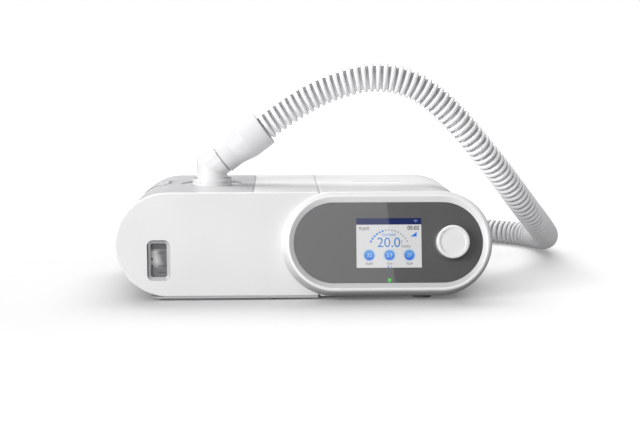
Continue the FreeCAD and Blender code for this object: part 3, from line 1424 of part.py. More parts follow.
def make_hose():
    tilt = math.radians(S.spout_slope.number)
    along = (S.cuff_start + S.cuff_length + S.hose_gap).number
    start = Vector(port_x.number + along * math.cos(tilt), S.port_y.number,
                   bend_z.number + along * math.sin(tilt))
    radius = S.hose_radius.number
    middle = Vector(S.coil_x.number, S.coil_y.number, 0)
    ring = Part.makeCylinder(S.coil_outer.number, 2 * radius, middle).cut(
        Part.makeCylinder(S.coil_inner.number, 2 * radius, middle))
    tube = hose_along([start] + [Vector(*point) for point in HOSE_ROUTE])
    solid_piece("hose_tube", tube.cut(Part.makeCylinder(S.coil_outer.number, 2 * radius, middle)))
    tail = hose_along([Vector(*point) for point in TAIL_ROUTE])
    solid_piece("hose_coil", ring.fuse(tail).removeSplitter())


def make_far_cuff():
    """Lies level across the coil; its wide end meets the hose and its narrow end is free."""
    before, end = (Vector(*point) for point in TAIL_ROUTE[-2:])
    along = end - before
    free_end = end + along.normalize() * S.cuff_length.number
    cuff = make_cuff("mask_cuff").body
    turn = Rotation(Vector(0, 0, 1), end - free_end)
    cuff.Placement = FreeCAD.Placement(free_end, turn)
    print("  far cuff mouth", free_end, "axis", along)


make_scroll()
make_motor()
make_impeller()
make_duct()
make_main_board()
make_hose()
make_far_cuff()


# ---- checks and files -----------------------------------------------------------------------------

doc.recompute()
for item in doc.Objects:
    if "Invalid" in item.State or "Error" in item.State:
        raise RuntimeError(f"{item.Name} is {item.State}")
    if item.TypeId in ("PartDesign::Pocket", "PartDesign::Groove", "PartDesign::SubtractiveLoft"):
        if item.Shape.Volume > item.BaseFeature.Shape.Volume - 0.01:
            raise RuntimeError(f"{item.Name} cuts nothing")
os.makedirs("parts", exist_ok=True)
for name, piece in pieces.items():
    shape = piece.Shape
    if shape.isNull() or not shape.isValid() or not shape.Solids:
        raise RuntimeError(f"{name} has no valid solid")
    shape.exportStep(f"parts/{name}.step")
    print(name, len(shape.Solids), round(shape.Volume / 1000, 2), "cm3")
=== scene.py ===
import math

import bmesh
import bpy
from bpy.props import FloatProperty, FloatVectorProperty, IntProperty, PointerProperty
from mathutils import Matrix, Vector


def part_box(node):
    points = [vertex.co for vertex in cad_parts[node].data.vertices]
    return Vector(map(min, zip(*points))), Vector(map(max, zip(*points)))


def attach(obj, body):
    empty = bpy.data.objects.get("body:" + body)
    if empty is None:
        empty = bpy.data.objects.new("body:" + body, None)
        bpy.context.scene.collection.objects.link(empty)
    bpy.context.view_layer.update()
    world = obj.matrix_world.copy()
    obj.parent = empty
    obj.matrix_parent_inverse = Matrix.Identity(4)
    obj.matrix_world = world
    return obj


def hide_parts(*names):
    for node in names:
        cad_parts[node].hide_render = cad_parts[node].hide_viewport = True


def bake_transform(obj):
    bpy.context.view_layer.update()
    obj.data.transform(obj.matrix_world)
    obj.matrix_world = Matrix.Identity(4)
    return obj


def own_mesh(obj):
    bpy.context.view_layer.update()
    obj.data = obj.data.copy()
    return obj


bl_info = {
    "name": "Breathing machine",
    "version": (1, 0, 0),
    "blender": (4, 5, 0),
    "location": "View3D > Sidebar > Breathing Machine",
    "description": "Dresses a bedside breathing machine: hose, screen, mouldings and stage",
    "category": "Object",
}

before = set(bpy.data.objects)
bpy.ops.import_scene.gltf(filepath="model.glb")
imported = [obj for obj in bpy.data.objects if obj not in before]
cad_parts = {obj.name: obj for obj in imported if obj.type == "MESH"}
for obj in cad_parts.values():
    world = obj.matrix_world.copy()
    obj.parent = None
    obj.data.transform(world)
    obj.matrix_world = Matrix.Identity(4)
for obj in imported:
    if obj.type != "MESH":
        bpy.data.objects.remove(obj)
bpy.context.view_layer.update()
MM = 0.001


# ---- sizes and colours that a user would change ---------------------------------------------------

class HoseSizes(bpy.types.PropertyGroup):
    """The corrugated hose."""

    radius: FloatProperty(name="Radius", description="Outside of the ribs", default=12.4 * MM,
                          unit="LENGTH")
    web_radius: FloatProperty(name="Web radius", description="Thin wall between two ribs",
                              default=10.0 * MM, unit="LENGTH")
    bead: FloatProperty(name="Bead radius", description="Round section of a rib", default=1.85 * MM,
                        unit="LENGTH")
    pitch: FloatProperty(name="Rib spacing", description="From one rib to the next",
                         default=5.85 * MM, unit="LENGTH")
    sides: IntProperty(name="Sides", description="Faces round the hose", default=32)
    rib: FloatVectorProperty(name="Rib colour", description="Colour of the ribs", subtype="COLOR",
                             default=(0.84, 0.84, 0.85), min=0, max=1)
    web: FloatVectorProperty(name="Web colour", description="Colour between the ribs",
                             subtype="COLOR", default=(0.05, 0.05, 0.051), min=0, max=1)


class ShellColours(bpy.types.PropertyGroup):
    """The mouldings of the casing."""

    casing: FloatVectorProperty(name="Casing", description="Pale moulded casing", subtype="COLOR",
                                default=(0.86, 0.86, 0.865), min=0, max=1)
    lid: FloatVectorProperty(name="Lid", description="Lid of the water tank",
                             subtype="COLOR", default=(0.62, 0.62, 0.63), min=0, max=1)
    gloss: FloatVectorProperty(name="Gloss white", description="Knob and start bar",
                               subtype="COLOR", default=(0.88, 0.88, 0.885), min=0, max=1)
    glass: FloatVectorProperty(name="Fascia", description="Dark glass of the fascia",
                               subtype="COLOR", default=(0.078, 0.078, 0.08), min=0, max=1)


class ScreenSizes(bpy.types.PropertyGroup):
    """The lit picture behind the fascia."""

    width: FloatProperty(name="Width", description="Lit picture", default=53.2 * MM, unit="LENGTH")
    height: FloatProperty(name="Height", description="Lit picture", default=40.4 * MM,
                          unit="LENGTH")
    glow: FloatProperty(name="Glow", description="Strength of the picture", default=1.0, min=0)
    lean: FloatProperty(name="Lean", description="Lean of the fascia", default=math.radians(12),
                        subtype="ANGLE")


class StageSizes(bpy.types.PropertyGroup):
    """Camera and lamps."""

    lens: FloatProperty(name="Lens", description="Focal length in millimetres", default=65.0)
    eye: FloatVectorProperty(name="Eye", description="Place of the camera", subtype="TRANSLATION",
                             default=(-0.020, -1.002, 0.194))
    pitch: FloatProperty(name="Pitch", description="Camera down from level",
                         default=math.radians(7.42), subtype="ANGLE")
    yaw: FloatProperty(name="Yaw", description="Camera turned to the right",
                       default=math.radians(2.015), subtype="ANGLE")


GROUPS = {"hose_sizes": HoseSizes, "shell_colours": ShellColours, "screen_sizes": ScreenSizes,
          "stage_sizes": StageSizes}


# ---- shader maths ---------------------------------------------------------------------------------

class Wire:
    """A shader socket that takes part in Python expressions and adds the Math nodes it needs."""

    def __init__(self, finish, socket):
        self.finish = finish
        self.socket = socket

    def maths(self, operation, first, second):
        return self.finish.node("ShaderNodeMath", {"operation": operation}, {0: first, 1: second})

    def __add__(self, other):
        return self.maths("ADD", self, other)

    def __radd__(self, other):
        return self.maths("ADD", other, self)

    def __sub__(self, other):
        return self.maths("SUBTRACT", self, other)

    def __rsub__(self, other):
        return self.maths("SUBTRACT", other, self)

    def __mul__(self, other):
        return self.maths("MULTIPLY", self, other)

    def __rmul__(self, other):
        return self.maths("MULTIPLY", other, self)


class Finish:
    """A procedural material: one Principled shader and whatever feeds it."""

    def __init__(self, name, colour, roughness, **settings):
        self.material = bpy.data.materials.new(name)
        self.material.use_nodes = True
        self.tree = self.material.node_tree
        self.shader = next(node for node in self.tree.nodes if node.type == "BSDF_PRINCIPLED")
        self.put("Base Color", colour)
        self.put("Roughness", roughness)
        for socket, value in settings.items():
            self.put(socket.replace("_", " "), value)

    def put(self, socket, value):
        """Gives one of the shader's sockets a value or a link."""
        self.connect(self.shader.inputs[socket], value)

    def connect(self, socket, value):
        if isinstance(value, Wire):
            self.tree.links.new(value.socket, socket)
        elif hasattr(value, "__len__") and len(value) == 3 and socket.type == "RGBA":
            socket.default_value = (*value, 1)
        else:
            socket.default_value = value

    def node(self, kind, settings, sockets, out=0):
        """Adds any node: its settings first, then the values or links of its sockets."""
        made = self.tree.nodes.new(kind)
        for name, value in settings.items():
            if name == "stops":
                for stop, (position, colour) in zip(made.color_ramp.elements, value):
                    stop.position = position
                    stop.color = (*colour, 1)
            else:
                setattr(made, name, value)
        for key, value in sockets.items():
            self.connect(made.inputs[key], value)
        return Wire(self, made.outputs[out])

    def place(self):
        return self.node("ShaderNodeTexCoord", {}, {}, "Object")

    def part(self, axis):
        return self.node("ShaderNodeSeparateXYZ", {}, {"Vector": self.place()}, axis)

    def noise(self, scale, detail=2.0):
        return self.node("ShaderNodeTexNoise", {},
                         {"Vector": self.place(), "Scale": scale, "Detail": detail})

    def mix(self, share, first, second):
        made = self.tree.nodes.new("ShaderNodeMix")
        made.data_type = "RGBA"
        self.connect(made.inputs["Factor"], share)
        self.connect(made.inputs[6], first)
        self.connect(made.inputs[7], second)
        return Wire(self, made.outputs[2])

    def ramp(self, value, low, high):
        """Takes a value from low..high to 0..1."""
        return self.node("ShaderNodeMapRange", {}, {"Value": value, "From Min": low, "From Max": high})

    def bump(self, height, strength, distance):
        """Raises the surface by a height, in metres at full."""
        self.put("Normal", self.node("ShaderNodeBump", {},
                                     {"Height": height, "Strength": strength, "Distance": distance}))


def moulded(name, colour, roughness=0.42, grain=2600, depth=0.012, **settings):
    """Satin moulding: a fine spark-eroded grain and a slow drift of tone."""
    finish = Finish(name, colour, roughness, **settings)
    drift = finish.ramp(finish.noise(14, 1.0), 0.35, 0.65)
    darker = tuple(0.965 * channel for channel in colour)
    finish.put("Base Color", finish.mix(drift, darker, tuple(colour)))
    finish.put("Roughness", roughness - 0.04 + 0.08 * drift)
    finish.bump(finish.noise(grain, 1.0), 0.25, depth * MM)
    return finish.material


def glossy(name, colour, roughness=0.12, **settings):
    """Polished moulding with the faint waviness of a real one."""
    finish = Finish(name, colour, roughness, Coat_Weight=0.6, Coat_Roughness=0.05, **settings)
    wave = finish.noise(60, 1.0)
    finish.put("Roughness", roughness + 0.05 * wave)
    finish.bump(wave, 0.1, 0.05 * MM)
    return finish.material


def metal(name, colour, roughness):
    """Turned or rolled metal with fine streaks."""
    finish = Finish(name, colour, roughness, Metallic=1.0)
    streak = finish.node("ShaderNodeTexNoise", {},
                         {"Vector": finish.node("ShaderNodeMapping", {},
                                                {"Vector": finish.place(), "Scale": (40, 900, 900)}),
                          "Scale": 3.0, "Detail": 3.0})
    finish.put("Roughness", roughness - 0.06 + 0.18 * streak)
    finish.put("Base Color", finish.mix(streak, tuple(0.85 * part for part in colour), colour))
    return finish.material


def lit(name, colour, glow, fade=None):
    """A lit part of the screen: faint pixel rows over one colour, or over one that fades upwards."""
    finish = Finish(name, (0.01, 0.01, 0.01), 0.3, Specular_IOR_Level=0.0, Coat_Weight=1.0,
                    Coat_Roughness=0.02)
    rows = finish.node("ShaderNodeTexWave", {"bands_direction": "Z"},
                       {"Vector": finish.place(), "Scale": 700.0})
    if fade:
        top, low, high = fade
        colour = finish.mix(finish.ramp(finish.part("Z"), low, high), colour, top)
        tone = finish.mix(0.03 * rows, colour, (0, 0, 0))
    else:
        tone = finish.mix(rows, tuple(0.97 * part for part in colour), colour)
    finish.put("Emission Color", tone)
    finish.put("Emission Strength", glow)
    return finish.material


# ---- meshes ---------------------------------------------------------------------------------------

def piece_from(work, name, material, body):
    """Turns a bmesh into a smooth-shaded piece that rides on a body."""
    bmesh.ops.recalc_face_normals(work, faces=work.faces)
    mesh = bpy.data.meshes.new(name)
    work.to_mesh(mesh)
    work.free()
    return finish_piece(mesh, name, material, body)


def finish_piece(mesh, name, material, body):
    mesh.shade_smooth()
    mesh.materials.clear()
    mesh.materials.append(material)
    piece = bpy.data.objects.new(name, mesh)
    bpy.context.collection.objects.link(piece)
    if body:
        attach(piece, body)
    return piece


def paint(material, *nodes):
    """Gives CAD nodes their finish."""
    for node in nodes:
        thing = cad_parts[node]
        if not thing.material_slots:
            thing.data.materials.append(material)
        for place in thing.material_slots:
            place.material = material


# ---- hose -----------------------------------------------------------------------------------------

SPOUT_RISE = math.radians(37.2)
PORT = Vector((-79, 10, 0)) * MM
BEND_HEIGHT = 103.1 * MM
SPOUT_LENGTH = 12.35 * MM
CUFF_END = SPOUT_LENGTH + 45.2 * MM

# Middle line of the hose, in millimetres, from the cuff's mouth over the machine to the table.
HOSE_ROUTE = [
    (-7.9, 10, 157), (23.9, 8, 173.6), (62.2, 5, 183.6), (97.4, 4, 176.4), (127.6, 6, 153),
    (154.9, 13, 122.7), (181.4, 31, 92.8), (208.2, 57, 61.1), (230, 90, 38.6), (248, 136, 21.3),
    (253.4, 188, 12.5), (238, 218, 12.5), (208.8, 238, 12.5), (183, 260, 12.5), (170, 291, 12.5),
]
TAIL_ROUTE = [(80, 366, 17), (42, 377.5, 26), (4, 377, 37), (-26, 377, 41.3), (-52, 377, 41.3)]
SPLIT = 4
COIL_MIDDLE = Vector((26, 257, 12.5))
COIL_FIRST = 150
COIL_STEP = 26
COIL_FROM = 25
COIL_TO = 403
COIL_POINT = 26.5


def hose_start():
    rise = Vector((math.cos(SPOUT_RISE), 0, math.sin(SPOUT_RISE)))
    return PORT + Vector((0, 0, BEND_HEIGHT)) + rise * CUFF_END


def coil_points():
    """A flat spiral on the table, one point every few degrees, working inwards."""
    count = round((COIL_TO - COIL_FROM) / COIL_POINT)
    points = []
    for number in range(count + 1):
        angle = COIL_FROM + (COIL_TO - COIL_FROM) * number / count
        radius = COIL_FIRST - COIL_STEP * (angle - COIL_FROM) / 360
        turn = math.radians(angle)
        points.append(COIL_MIDDLE + Vector((math.cos(turn), math.sin(turn), 0)) * radius)
    return points


def smooth_line(name, points):
    """Points read from a NURBS spline through which the hose runs."""
    curve = bpy.data.curves.new(name, "CURVE")
    curve.dimensions = "3D"
    spline = curve.splines.new("NURBS")
    spline.points.add(len(points) - 1)
    for item, point in zip(spline.points, points):
        item.co = (*point, 1)
    spline.order_u = 3
    spline.use_endpoint_u = True
    spline.resolution_u = 16
    carrier = bpy.data.objects.new(name, curve)
    bpy.context.collection.objects.link(carrier)
    bpy.context.view_layer.update()
    mesh = bpy.data.meshes.new_from_object(carrier)
    line = [vertex.co.copy() for vertex in mesh.vertices]
    bpy.data.objects.remove(carrier)
    return [point for number, point in enumerate(line)
            if number == 0 or (point - line[number - 1]).length > 1e-6]


class Track:
    """A line with its length and a frame that turns as little as it can."""

    def __init__(self, line):
        self.line = line
        self.at = [0.0]
        for before, after in zip(line, line[1:]):
            self.at.append(self.at[-1] + (after - before).length)
        self.ahead = []
        for number in range(len(line)):
            before = line[max(number - 1, 0)]
            after = line[min(number + 1, len(line) - 1)]
            self.ahead.append((after - before).normalized())
        side = self.ahead[0].orthogonal().normalized()
        self.side = [side]
        for before, after in zip(self.ahead, self.ahead[1:]):
            side = before.rotation_difference(after) @ side
            side = (side - after * side.dot(after)).normalized()
            self.side.append(side)
        self.length = self.at[-1]

    def bend(self, point):
        """Takes a point beside a straight axis along Z to its place beside the line."""
        distance = min(max(point.z, 0.0), self.length)
        low, high = 0, len(self.at) - 1
        while high - low > 1:
            middle = (low + high) // 2
            if self.at[middle] <= distance:
                low = middle
            else:
                high = middle
        share = (distance - self.at[low]) / (self.at[high] - self.at[low])
        ahead = self.ahead[low].lerp(self.ahead[high], share).normalized()
        side = self.side[low].lerp(self.side[high], share)
        side = (side - ahead * side.dot(ahead)).normalized()
        across = ahead.cross(side)
        return self.line[low].lerp(self.line[high], share) + side * point.x + across * point.y


def corrugated(track, sizes):
    """Spins a row of round beads on a thin web into a straight hose and bends it along the track."""
    work = bmesh.new()
    rib_layer = work.verts.layers.float.new("rib")
    seat = sizes.radius - sizes.bead
    lean = math.degrees(math.acos((sizes.web_radius - seat) / sizes.bead))
    profile = [(0.0, sizes.web_radius, 0.0)]
    count = round(track.length / sizes.pitch)
    for number in range(count):
        middle = (number + 0.5) * track.length / count
        for step in range(-4, 5):
            angle = math.radians(lean * step / 4)
            profile.append((middle + sizes.bead * math.sin(angle),
                            seat + sizes.bead * math.cos(angle), float(abs(step) < 4)))
    profile.append((track.length, sizes.web_radius, 0.0))
    verts = []
    for distance, radius, rib in profile:
        vert = work.verts.new((radius, 0, distance))
        vert[rib_layer] = rib
        verts.append(vert)
    edges = [work.edges.new(pair) for pair in zip(verts, verts[1:])]
    bmesh.ops.spin(work, geom=verts + edges, axis=(0, 0, 1), cent=(0, 0, 0), steps=sizes.sides,
                   angle=2 * math.pi, use_merge=True)
    up_layer = work.verts.layers.float.new("up")
    for vert in work.verts:
        middle = track.bend(Vector((0, 0, vert.co.z)))
        vert.co = track.bend(vert.co)
        vert[up_layer] = (vert.co.z - middle.z) / sizes.radius
    return work


# Middle of the fascia's rim, its lean, the radius of its round ends and the length of its straight part,
# which place the bezel's painted highlight and shade.
RIM_MIDDLE = (0.0687, -0.07530, 0.0493)
RIM_LEAN = math.radians(12)
RIM_RADIUS = 37.9 * MM
RIM_STRAIGHT = 87.4 * MM


# ---- operators ------------------------------------------------------------------------------------

class BREATHING_OT_stage(bpy.types.Operator):
    """Sets up the floor, the backdrop, the lamps and the camera"""

    bl_idname = "breathing.stage"
    bl_label = "Stage"

    def execute(self, context):
        sizes = context.scene.stage_sizes
        camera = bpy.data.objects.new("camera", bpy.data.cameras.new("camera"))
        camera.data.lens = sizes.lens
        camera.data.sensor_width = 36
        camera.location = sizes.eye
        camera.rotation_euler = (math.radians(90) - sizes.pitch, 0, -sizes.yaw)
        context.collection.objects.link(camera)
        context.scene.camera = camera
        context.scene.view_settings.view_transform = "Standard"
        self.floor(context)
        self.world(context)
        self.lamp(context, "key_panel", (-1.8, -1.5, 0.75), (0, 0, 0.05), 1.2, 1.2, 40)
        self.lamp(context, "front_panel", (0.3, -2.1, 1.45), (0, 0, 0.05), 1.5, 0.6, 8)
        self.lamp(context, "top_panel", (-0.1, 0.85, 1.7), (-0.05, 0.05, 0.05), 3.0, 1.3, 40)
        self.lamp(context, "glass_card", (-0.872, -1.909, 0.6), (-0.252, 0.091, 0.08), 2.4, 1.2, 14,
                  10.2)
        return {"FINISHED"}

    def floor(self, context):
        work = bmesh.new()
        bmesh.ops.create_grid(work, x_segments=1, y_segments=1, size=30)
        floor = piece_from(work, "floor", self.pale(), None)

    def pale(self):
        finish = Finish("floor_paper", (0.75, 0.75, 0.75), 0.9, Specular_IOR_Level=0.0)
        seen = finish.node("ShaderNodeLightPath", {}, {}, "Is Camera Ray")
        paper = finish.mix(finish.noise(3), (0.805, 0.805, 0.805), (0.815, 0.815, 0.815))
        finish.put("Base Color", finish.mix(seen, (0.25, 0.25, 0.25), paper))
        shine = finish.node("ShaderNodeLightPath", {}, {}, "Is Glossy Ray")
        # Painted light: for the camera the floor glows more the further it lies from a point beside the
        # machine, which leaves a painted shade near the machine, and it glows faintly in reflections.
        away = finish.ramp(finish.node("ShaderNodeVectorMath", {"operation": "DISTANCE"},
                                       {0: finish.place(), 1: (-0.2, 0, 0)}, "Value"), 0.15, 2.0)
        finish.put("Emission Color", finish.mix(away * seen + 0.2 * shine, (0, 0, 0), (1, 1, 1)))
        finish.put("Emission Strength", 1.0)
        return finish.material

    def world(self, context):
        world = bpy.data.worlds.new("studio")
        context.scene.world = world
        world.use_nodes = True
        tree = world.node_tree
        back = tree.nodes["Background"]
        rays = tree.nodes.new("ShaderNodeLightPath")
        level = tree.nodes.new("ShaderNodeMapRange")
        level.inputs["To Min"].default_value = 0.16
        level.inputs["To Max"].default_value = 1.0
        tree.links.new(rays.outputs["Is Camera Ray"], level.inputs["Value"])
        tree.links.new(level.outputs["Result"], back.inputs["Strength"])
        back.inputs["Color"].default_value = (1, 1, 1, 1)

    def lamp(self, context, name, place, aim, width, height, power, roll=0.0):
        data = bpy.data.lights.new(name, "AREA")
        data.shape = "RECTANGLE"
        data.size = width
        data.size_y = height
        data.energy = power
        lamp = bpy.data.objects.new(name, data)
        lamp.location = place
        facing = (Vector(aim) - Vector(place)).to_track_quat("-Z", "Y")
        turned = facing @ Matrix.Rotation(math.radians(roll), 3, "Z").to_quaternion()
        lamp.rotation_euler = turned.to_euler()
        context.collection.objects.link(lamp)


class BREATHING_OT_hose(bpy.types.Operator):
    """Makes the ribbed hose: one piece up to the top of its arch, one from there to the far cuff"""

    bl_idname = "breathing.hose"
    bl_label = "Hose"

    def execute(self, context):
        sizes = context.scene.hose_sizes
        route = [Vector(point) * MM for point in HOSE_ROUTE]
        crown = (route[SPLIT - 1] + route[SPLIT]) / 2
        near = [hose_start()] + route[:SPLIT] + [crown]
        far = [crown] + route[SPLIT:] + [point * MM for point in coil_points()]
        far += [Vector(point) * MM for point in TAIL_ROUTE]
        finish = self.ribbed(sizes)
        near_track = Track(smooth_line("near_line", near))
        far_track = Track(smooth_line("far_line", far))
        near_hose = piece_from(corrugated(near_track, sizes), "near_hose", finish, None)
        far_hose = piece_from(corrugated(far_track, sizes), "far_hose", finish, None)
        print("hose", round(near_track.length + far_track.length, 3), "m")
        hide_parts("hose_tube")
        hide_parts("hose_coil")
        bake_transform(near_hose)
        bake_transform(far_hose)
        return {"FINISHED"}

    def ribbed(self, sizes):
        finish = Finish("ribbed_hose", tuple(sizes.rib), 0.32, Emission_Strength=1.0)
        rib = finish.node("ShaderNodeAttribute", {"attribute_name": "rib"}, {}, "Fac")
        up = finish.node("ShaderNodeAttribute", {"attribute_name": "up"}, {}, "Fac")
        # Painted shade: the web is darker and more opaque on the hose's upper side and lighter below.
        upper = finish.ramp(up, -0.6, 0.85)
        web = finish.mix(upper, tuple(8 * part for part in sizes.web), tuple(sizes.web))
        # The ribs glow faintly: painted light that stands in for light through the hose wall and lifts
        # their shade.
        finish.put("Emission Color", finish.mix(rib, (0, 0, 0), (0.08, 0.08, 0.082)))
        tone = finish.mix(rib, web, tuple(sizes.rib))
        drift = finish.ramp(finish.noise(30), 0.3, 0.7)
        finish.put("Base Color", finish.mix(0.1 * drift, tone, (0.9, 0.9, 0.91)))
        finish.put("Roughness", 0.34 - 0.08 * rib)
        finish.put("Alpha", rib + (1 - rib) * (0.35 + 0.45 * upper))
        finish.bump(finish.noise(900), 0.15, 0.03 * MM)
        return finish.material


class BREATHING_OT_casing(bpy.types.Operator):
    """Finishes the mouldings, metal, rubber and boards of the machine"""

    bl_idname = "breathing.casing"
    bl_label = "Casing finishes"

    def execute(self, context):
        colours = context.scene.shell_colours
        casing = moulded("casing_white", tuple(colours.casing), 0.5)
        paint(casing, "front_plate", "bay_cover", "main_housing", "rear_panel", "filter_door")
        paint(self.bezel(tuple(colours.casing)), "front_bezel")
        paint(moulded("lid_grey", tuple(colours.lid)), "tank_lid")
        gloss = glossy("gloss_white", tuple(colours.gloss))
        paint(gloss, "knob")
        paint(glossy("button_grey", (0.60, 0.60, 0.605), 0.2), "release_button")
        # The start bar glows faintly: painted light for the highlight along it, which also lifts the shade
        # in the gap round it.
        paint(glossy("bar_white", tuple(colours.gloss), Emission_Color=(1, 1, 1), Emission_Strength=0.35),
              "start_bar")
        paint(self.elbow(), "elbow")
        paint(moulded("cuff_white", (0.74, 0.74, 0.75), 0.5), "hose_cuff", "mask_cuff")
        paint(moulded("tray_grey", (0.5, 0.5, 0.51)), "base_tray", "blower_casing", "encoder_body",
              "impeller", "encoder_plunger")
        paint(self.rim(), "window_frame")
        rubber = moulded("black_rubber", (0.02, 0.02, 0.021), 0.7, 1500, 0.02)
        paint(moulded("foot_grey", (0.16, 0.16, 0.162), 0.8), "feet")
        paint(rubber, "blower_mount", "duct_seal", "elbow_seal", "tank_seal", "air_duct")
        paint(metal("bright_steel", (0.62, 0.62, 0.63), 0.3), "case_screws", "filter_door_pin",
              "release_spring", "motor_shaft", "knob_shaft", "blower_motor")
        paint(metal("rolled_aluminium", (0.75, 0.75, 0.76), 0.38), "heater_plate", "tank_heat_plate")
        paint(moulded("board_green", (0.03, 0.16, 0.08), 0.35), "main_board", "control_board",
              "start_switch")
        paint(moulded("black_moulding", (0.03, 0.03, 0.032), 0.4), "power_inlet", "display_panel")
        paint(moulded("filter_felt", (0.80, 0.81, 0.81), 0.95, 500, 0.3), "filter_pad")
        return {"FINISHED"}


    def bezel(self, casing):
        """Casing white with a painted highlight along the rim's crest and painted shade to both sides of
        it, deepening towards the rim's bottom.
        """
        finish = Finish("bezel_white", casing, 0.5)
        away = finish.node("ShaderNodeVectorMath", {"operation": "SUBTRACT"},
                           {0: finish.place(), 1: RIM_MIDDLE})
        above = finish.node("ShaderNodeVectorMath", {"operation": "DOT_PRODUCT"},
                            {0: away, 1: (0, math.sin(RIM_LEAN), math.cos(RIM_LEAN))}, "Value")
        beside = finish.part("X") - RIM_MIDDLE[0]
        past = beside.maths("ABSOLUTE", beside, 0) - RIM_STRAIGHT / 2
        past = past.maths("MAXIMUM", past, 0)
        flat = finish.node("ShaderNodeCombineXYZ", {}, {"X": past, "Y": above})
        out = finish.node("ShaderNodeVectorMath", {"operation": "LENGTH"}, {0: flat}, "Value")
        low = finish.ramp(above, 0.0, -0.8 * RIM_RADIUS)
        inside = finish.ramp(out, RIM_RADIUS - 0.5 * MM, RIM_RADIUS - 1.2 * MM)
        outside = finish.ramp(out, RIM_RADIUS + 0.6 * MM, RIM_RADIUS + 1.6 * MM)
        # Painted shade inside and outside the crest, growing towards the bottom, and a painted highlight
        # on the crest.
        shade = finish.mix(low * (0.75 * inside + outside), casing, (0.55, 0.55, 0.555))
        crest = (1 - inside) * (1 - outside)
        finish.put("Base Color", finish.mix(crest, shade, (0.94, 0.94, 0.945)))
        finish.bump(finish.noise(2600, 1.0), 0.25, 0.012 * MM)
        return finish.material

    def elbow(self):
        """Glossy white moulding with a band of painted shade where the hose cuff begins, in place of a
        groove's shade.
        """
        white = (0.79, 0.79, 0.795)
        finish = Finish("elbow_white", white, 0.3, Coat_Weight=0.6, Coat_Roughness=0.05)
        bend = PORT + Vector((0, 0, BEND_HEIGHT))
        rise = Vector((math.cos(SPOUT_RISE), 0, math.sin(SPOUT_RISE)))
        along = finish.node("ShaderNodeVectorMath", {"operation": "DOT_PRODUCT"},
                            {0: finish.place(), 1: rise}, "Value")
        cuff = bend.dot(rise) + SPOUT_LENGTH
        # Painted shade: a dark band just before the cuff, where a groove would lie in shade.
        painted_groove_shade = finish.ramp(along, cuff - 1.6 * MM, cuff - 1.2 * MM)
        finish.put("Base Color", finish.mix(painted_groove_shade, white, (0.42, 0.42, 0.425)))
        finish.put("Roughness", 0.3 + 0.05 * finish.noise(60, 1.0))
        return finish.material

    def rim(self):
        """Grey moulding with painted shade along its left and its upper edge, deep in the plate."""
        finish = Finish("window_grey", (0.5, 0.5, 0.51), 0.35)
        low, high = (Vector(corner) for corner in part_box("window_frame"))
        left = finish.ramp(finish.part("X"), low.x + 1.5 * MM, low.x + 0.7 * MM)
        top = finish.ramp(finish.part("Z"), high.z - 1.3 * MM, high.z - 0.5 * MM)
        finish.put("Base Color", finish.mix(left + top * (1 - left), (0.5, 0.5, 0.51), (0.09, 0.09, 0.09)))
        return finish.material


class BREATHING_OT_tank(bpy.types.Operator):
    """Finishes the clear tub, its inlet and the window"""

    bl_idname = "breathing.tank"
    bl_label = "Tank"

    def execute(self, context):
        finish = Finish("smoky_tub", (0.55, 0.56, 0.58), 0.2, IOR=1.5)
        haze = finish.ramp(finish.noise(35), 0.3, 0.7)
        height, across = finish.part("Z"), finish.part("X")
        front = finish.ramp(finish.part("Y"), -57 * MM, -59 * MM)
        upper = finish.ramp(height, 42.2 * MM, 42.8 * MM) * front
        # A pale patch at the upper left of the tub as seen through the window: a painted highlight.
        painted_glint = finish.ramp(across + 0.25 * height, -108 * MM, -113 * MM) * front
        painted_glint = painted_glint * finish.ramp(across, -131 * MM, -128 * MM) * finish.ramp(height, 26 * MM, 32 * MM)
        smoke = finish.mix(haze, (0.13, 0.13, 0.135), (0.19, 0.19, 0.195))
        smoke = finish.mix(painted_glint * (1 - upper), smoke, (0.9, 0.9, 0.9))
        finish.put("Base Color", finish.mix(upper, smoke, (0.07, 0.07, 0.072)))
        finish.put("Alpha", 0.82 + 0.08 * haze)
        paint(finish.material, "tank_tub", "tank_inlet")
        pane = Finish("window_pane", (0.5, 0.5, 0.52), 0.05, IOR=1.45)
        smear = pane.noise(80)
        pane.put("Alpha", 0.08 + 0.04 * smear)
        pane.put("Roughness", 0.04 + 0.06 * smear)
        paint(pane.material, "window_lens")
        dark, pale = bmesh.new(), bmesh.new()
        for row in ((11.2, 22.4, 5.6, 0.9, 4), (11.8, 11.7, 6.2, 0.8, 1), (11.8, 6.2, 6.2, 1.1, 5),
                    (3.7, 17.3, 1.1, 2.2, 1), (3.7, 11.2, 1.1, 2.2, 1)):
            self.marks(dark, *row)
        self.marks(pale, 9.4, 25.1, 13.0, 1.1, 1)
        piece_from(dark, "level_marks", moulded("mark_grey", (0.02, 0.02, 0.022)), "tank")
        piece_from(pale, "tub_ledge", moulded("ledge_grey", (0.30, 0.30, 0.31)), "tank")
        self.spring()
        return {"FINISHED"}

    def spring(self):
        """Gives the leaf spring a mesh of its own."""
        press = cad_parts["release_spring"]
        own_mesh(press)

    def marks(self, work, x, z, width, height, count):
        """A row of bars raised on the front of the tub, in millimetres from the window's corner."""
        corner, front = Vector(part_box("window_frame")[0]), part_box("tank_tub")[0].y
        pitch = width / count
        for number in range(count):
            made = bmesh.ops.create_cube(work, size=MM)
            middle = x + pitch * (number + 0.5) - width / 2
            bmesh.ops.scale(work, vec=(0.8 * pitch if count > 1 else width, 0.2, height),
                            verts=made["verts"])
            bmesh.ops.translate(work, vec=(corner.x + middle * MM, front, corner.z + z * MM),
                                verts=made["verts"])


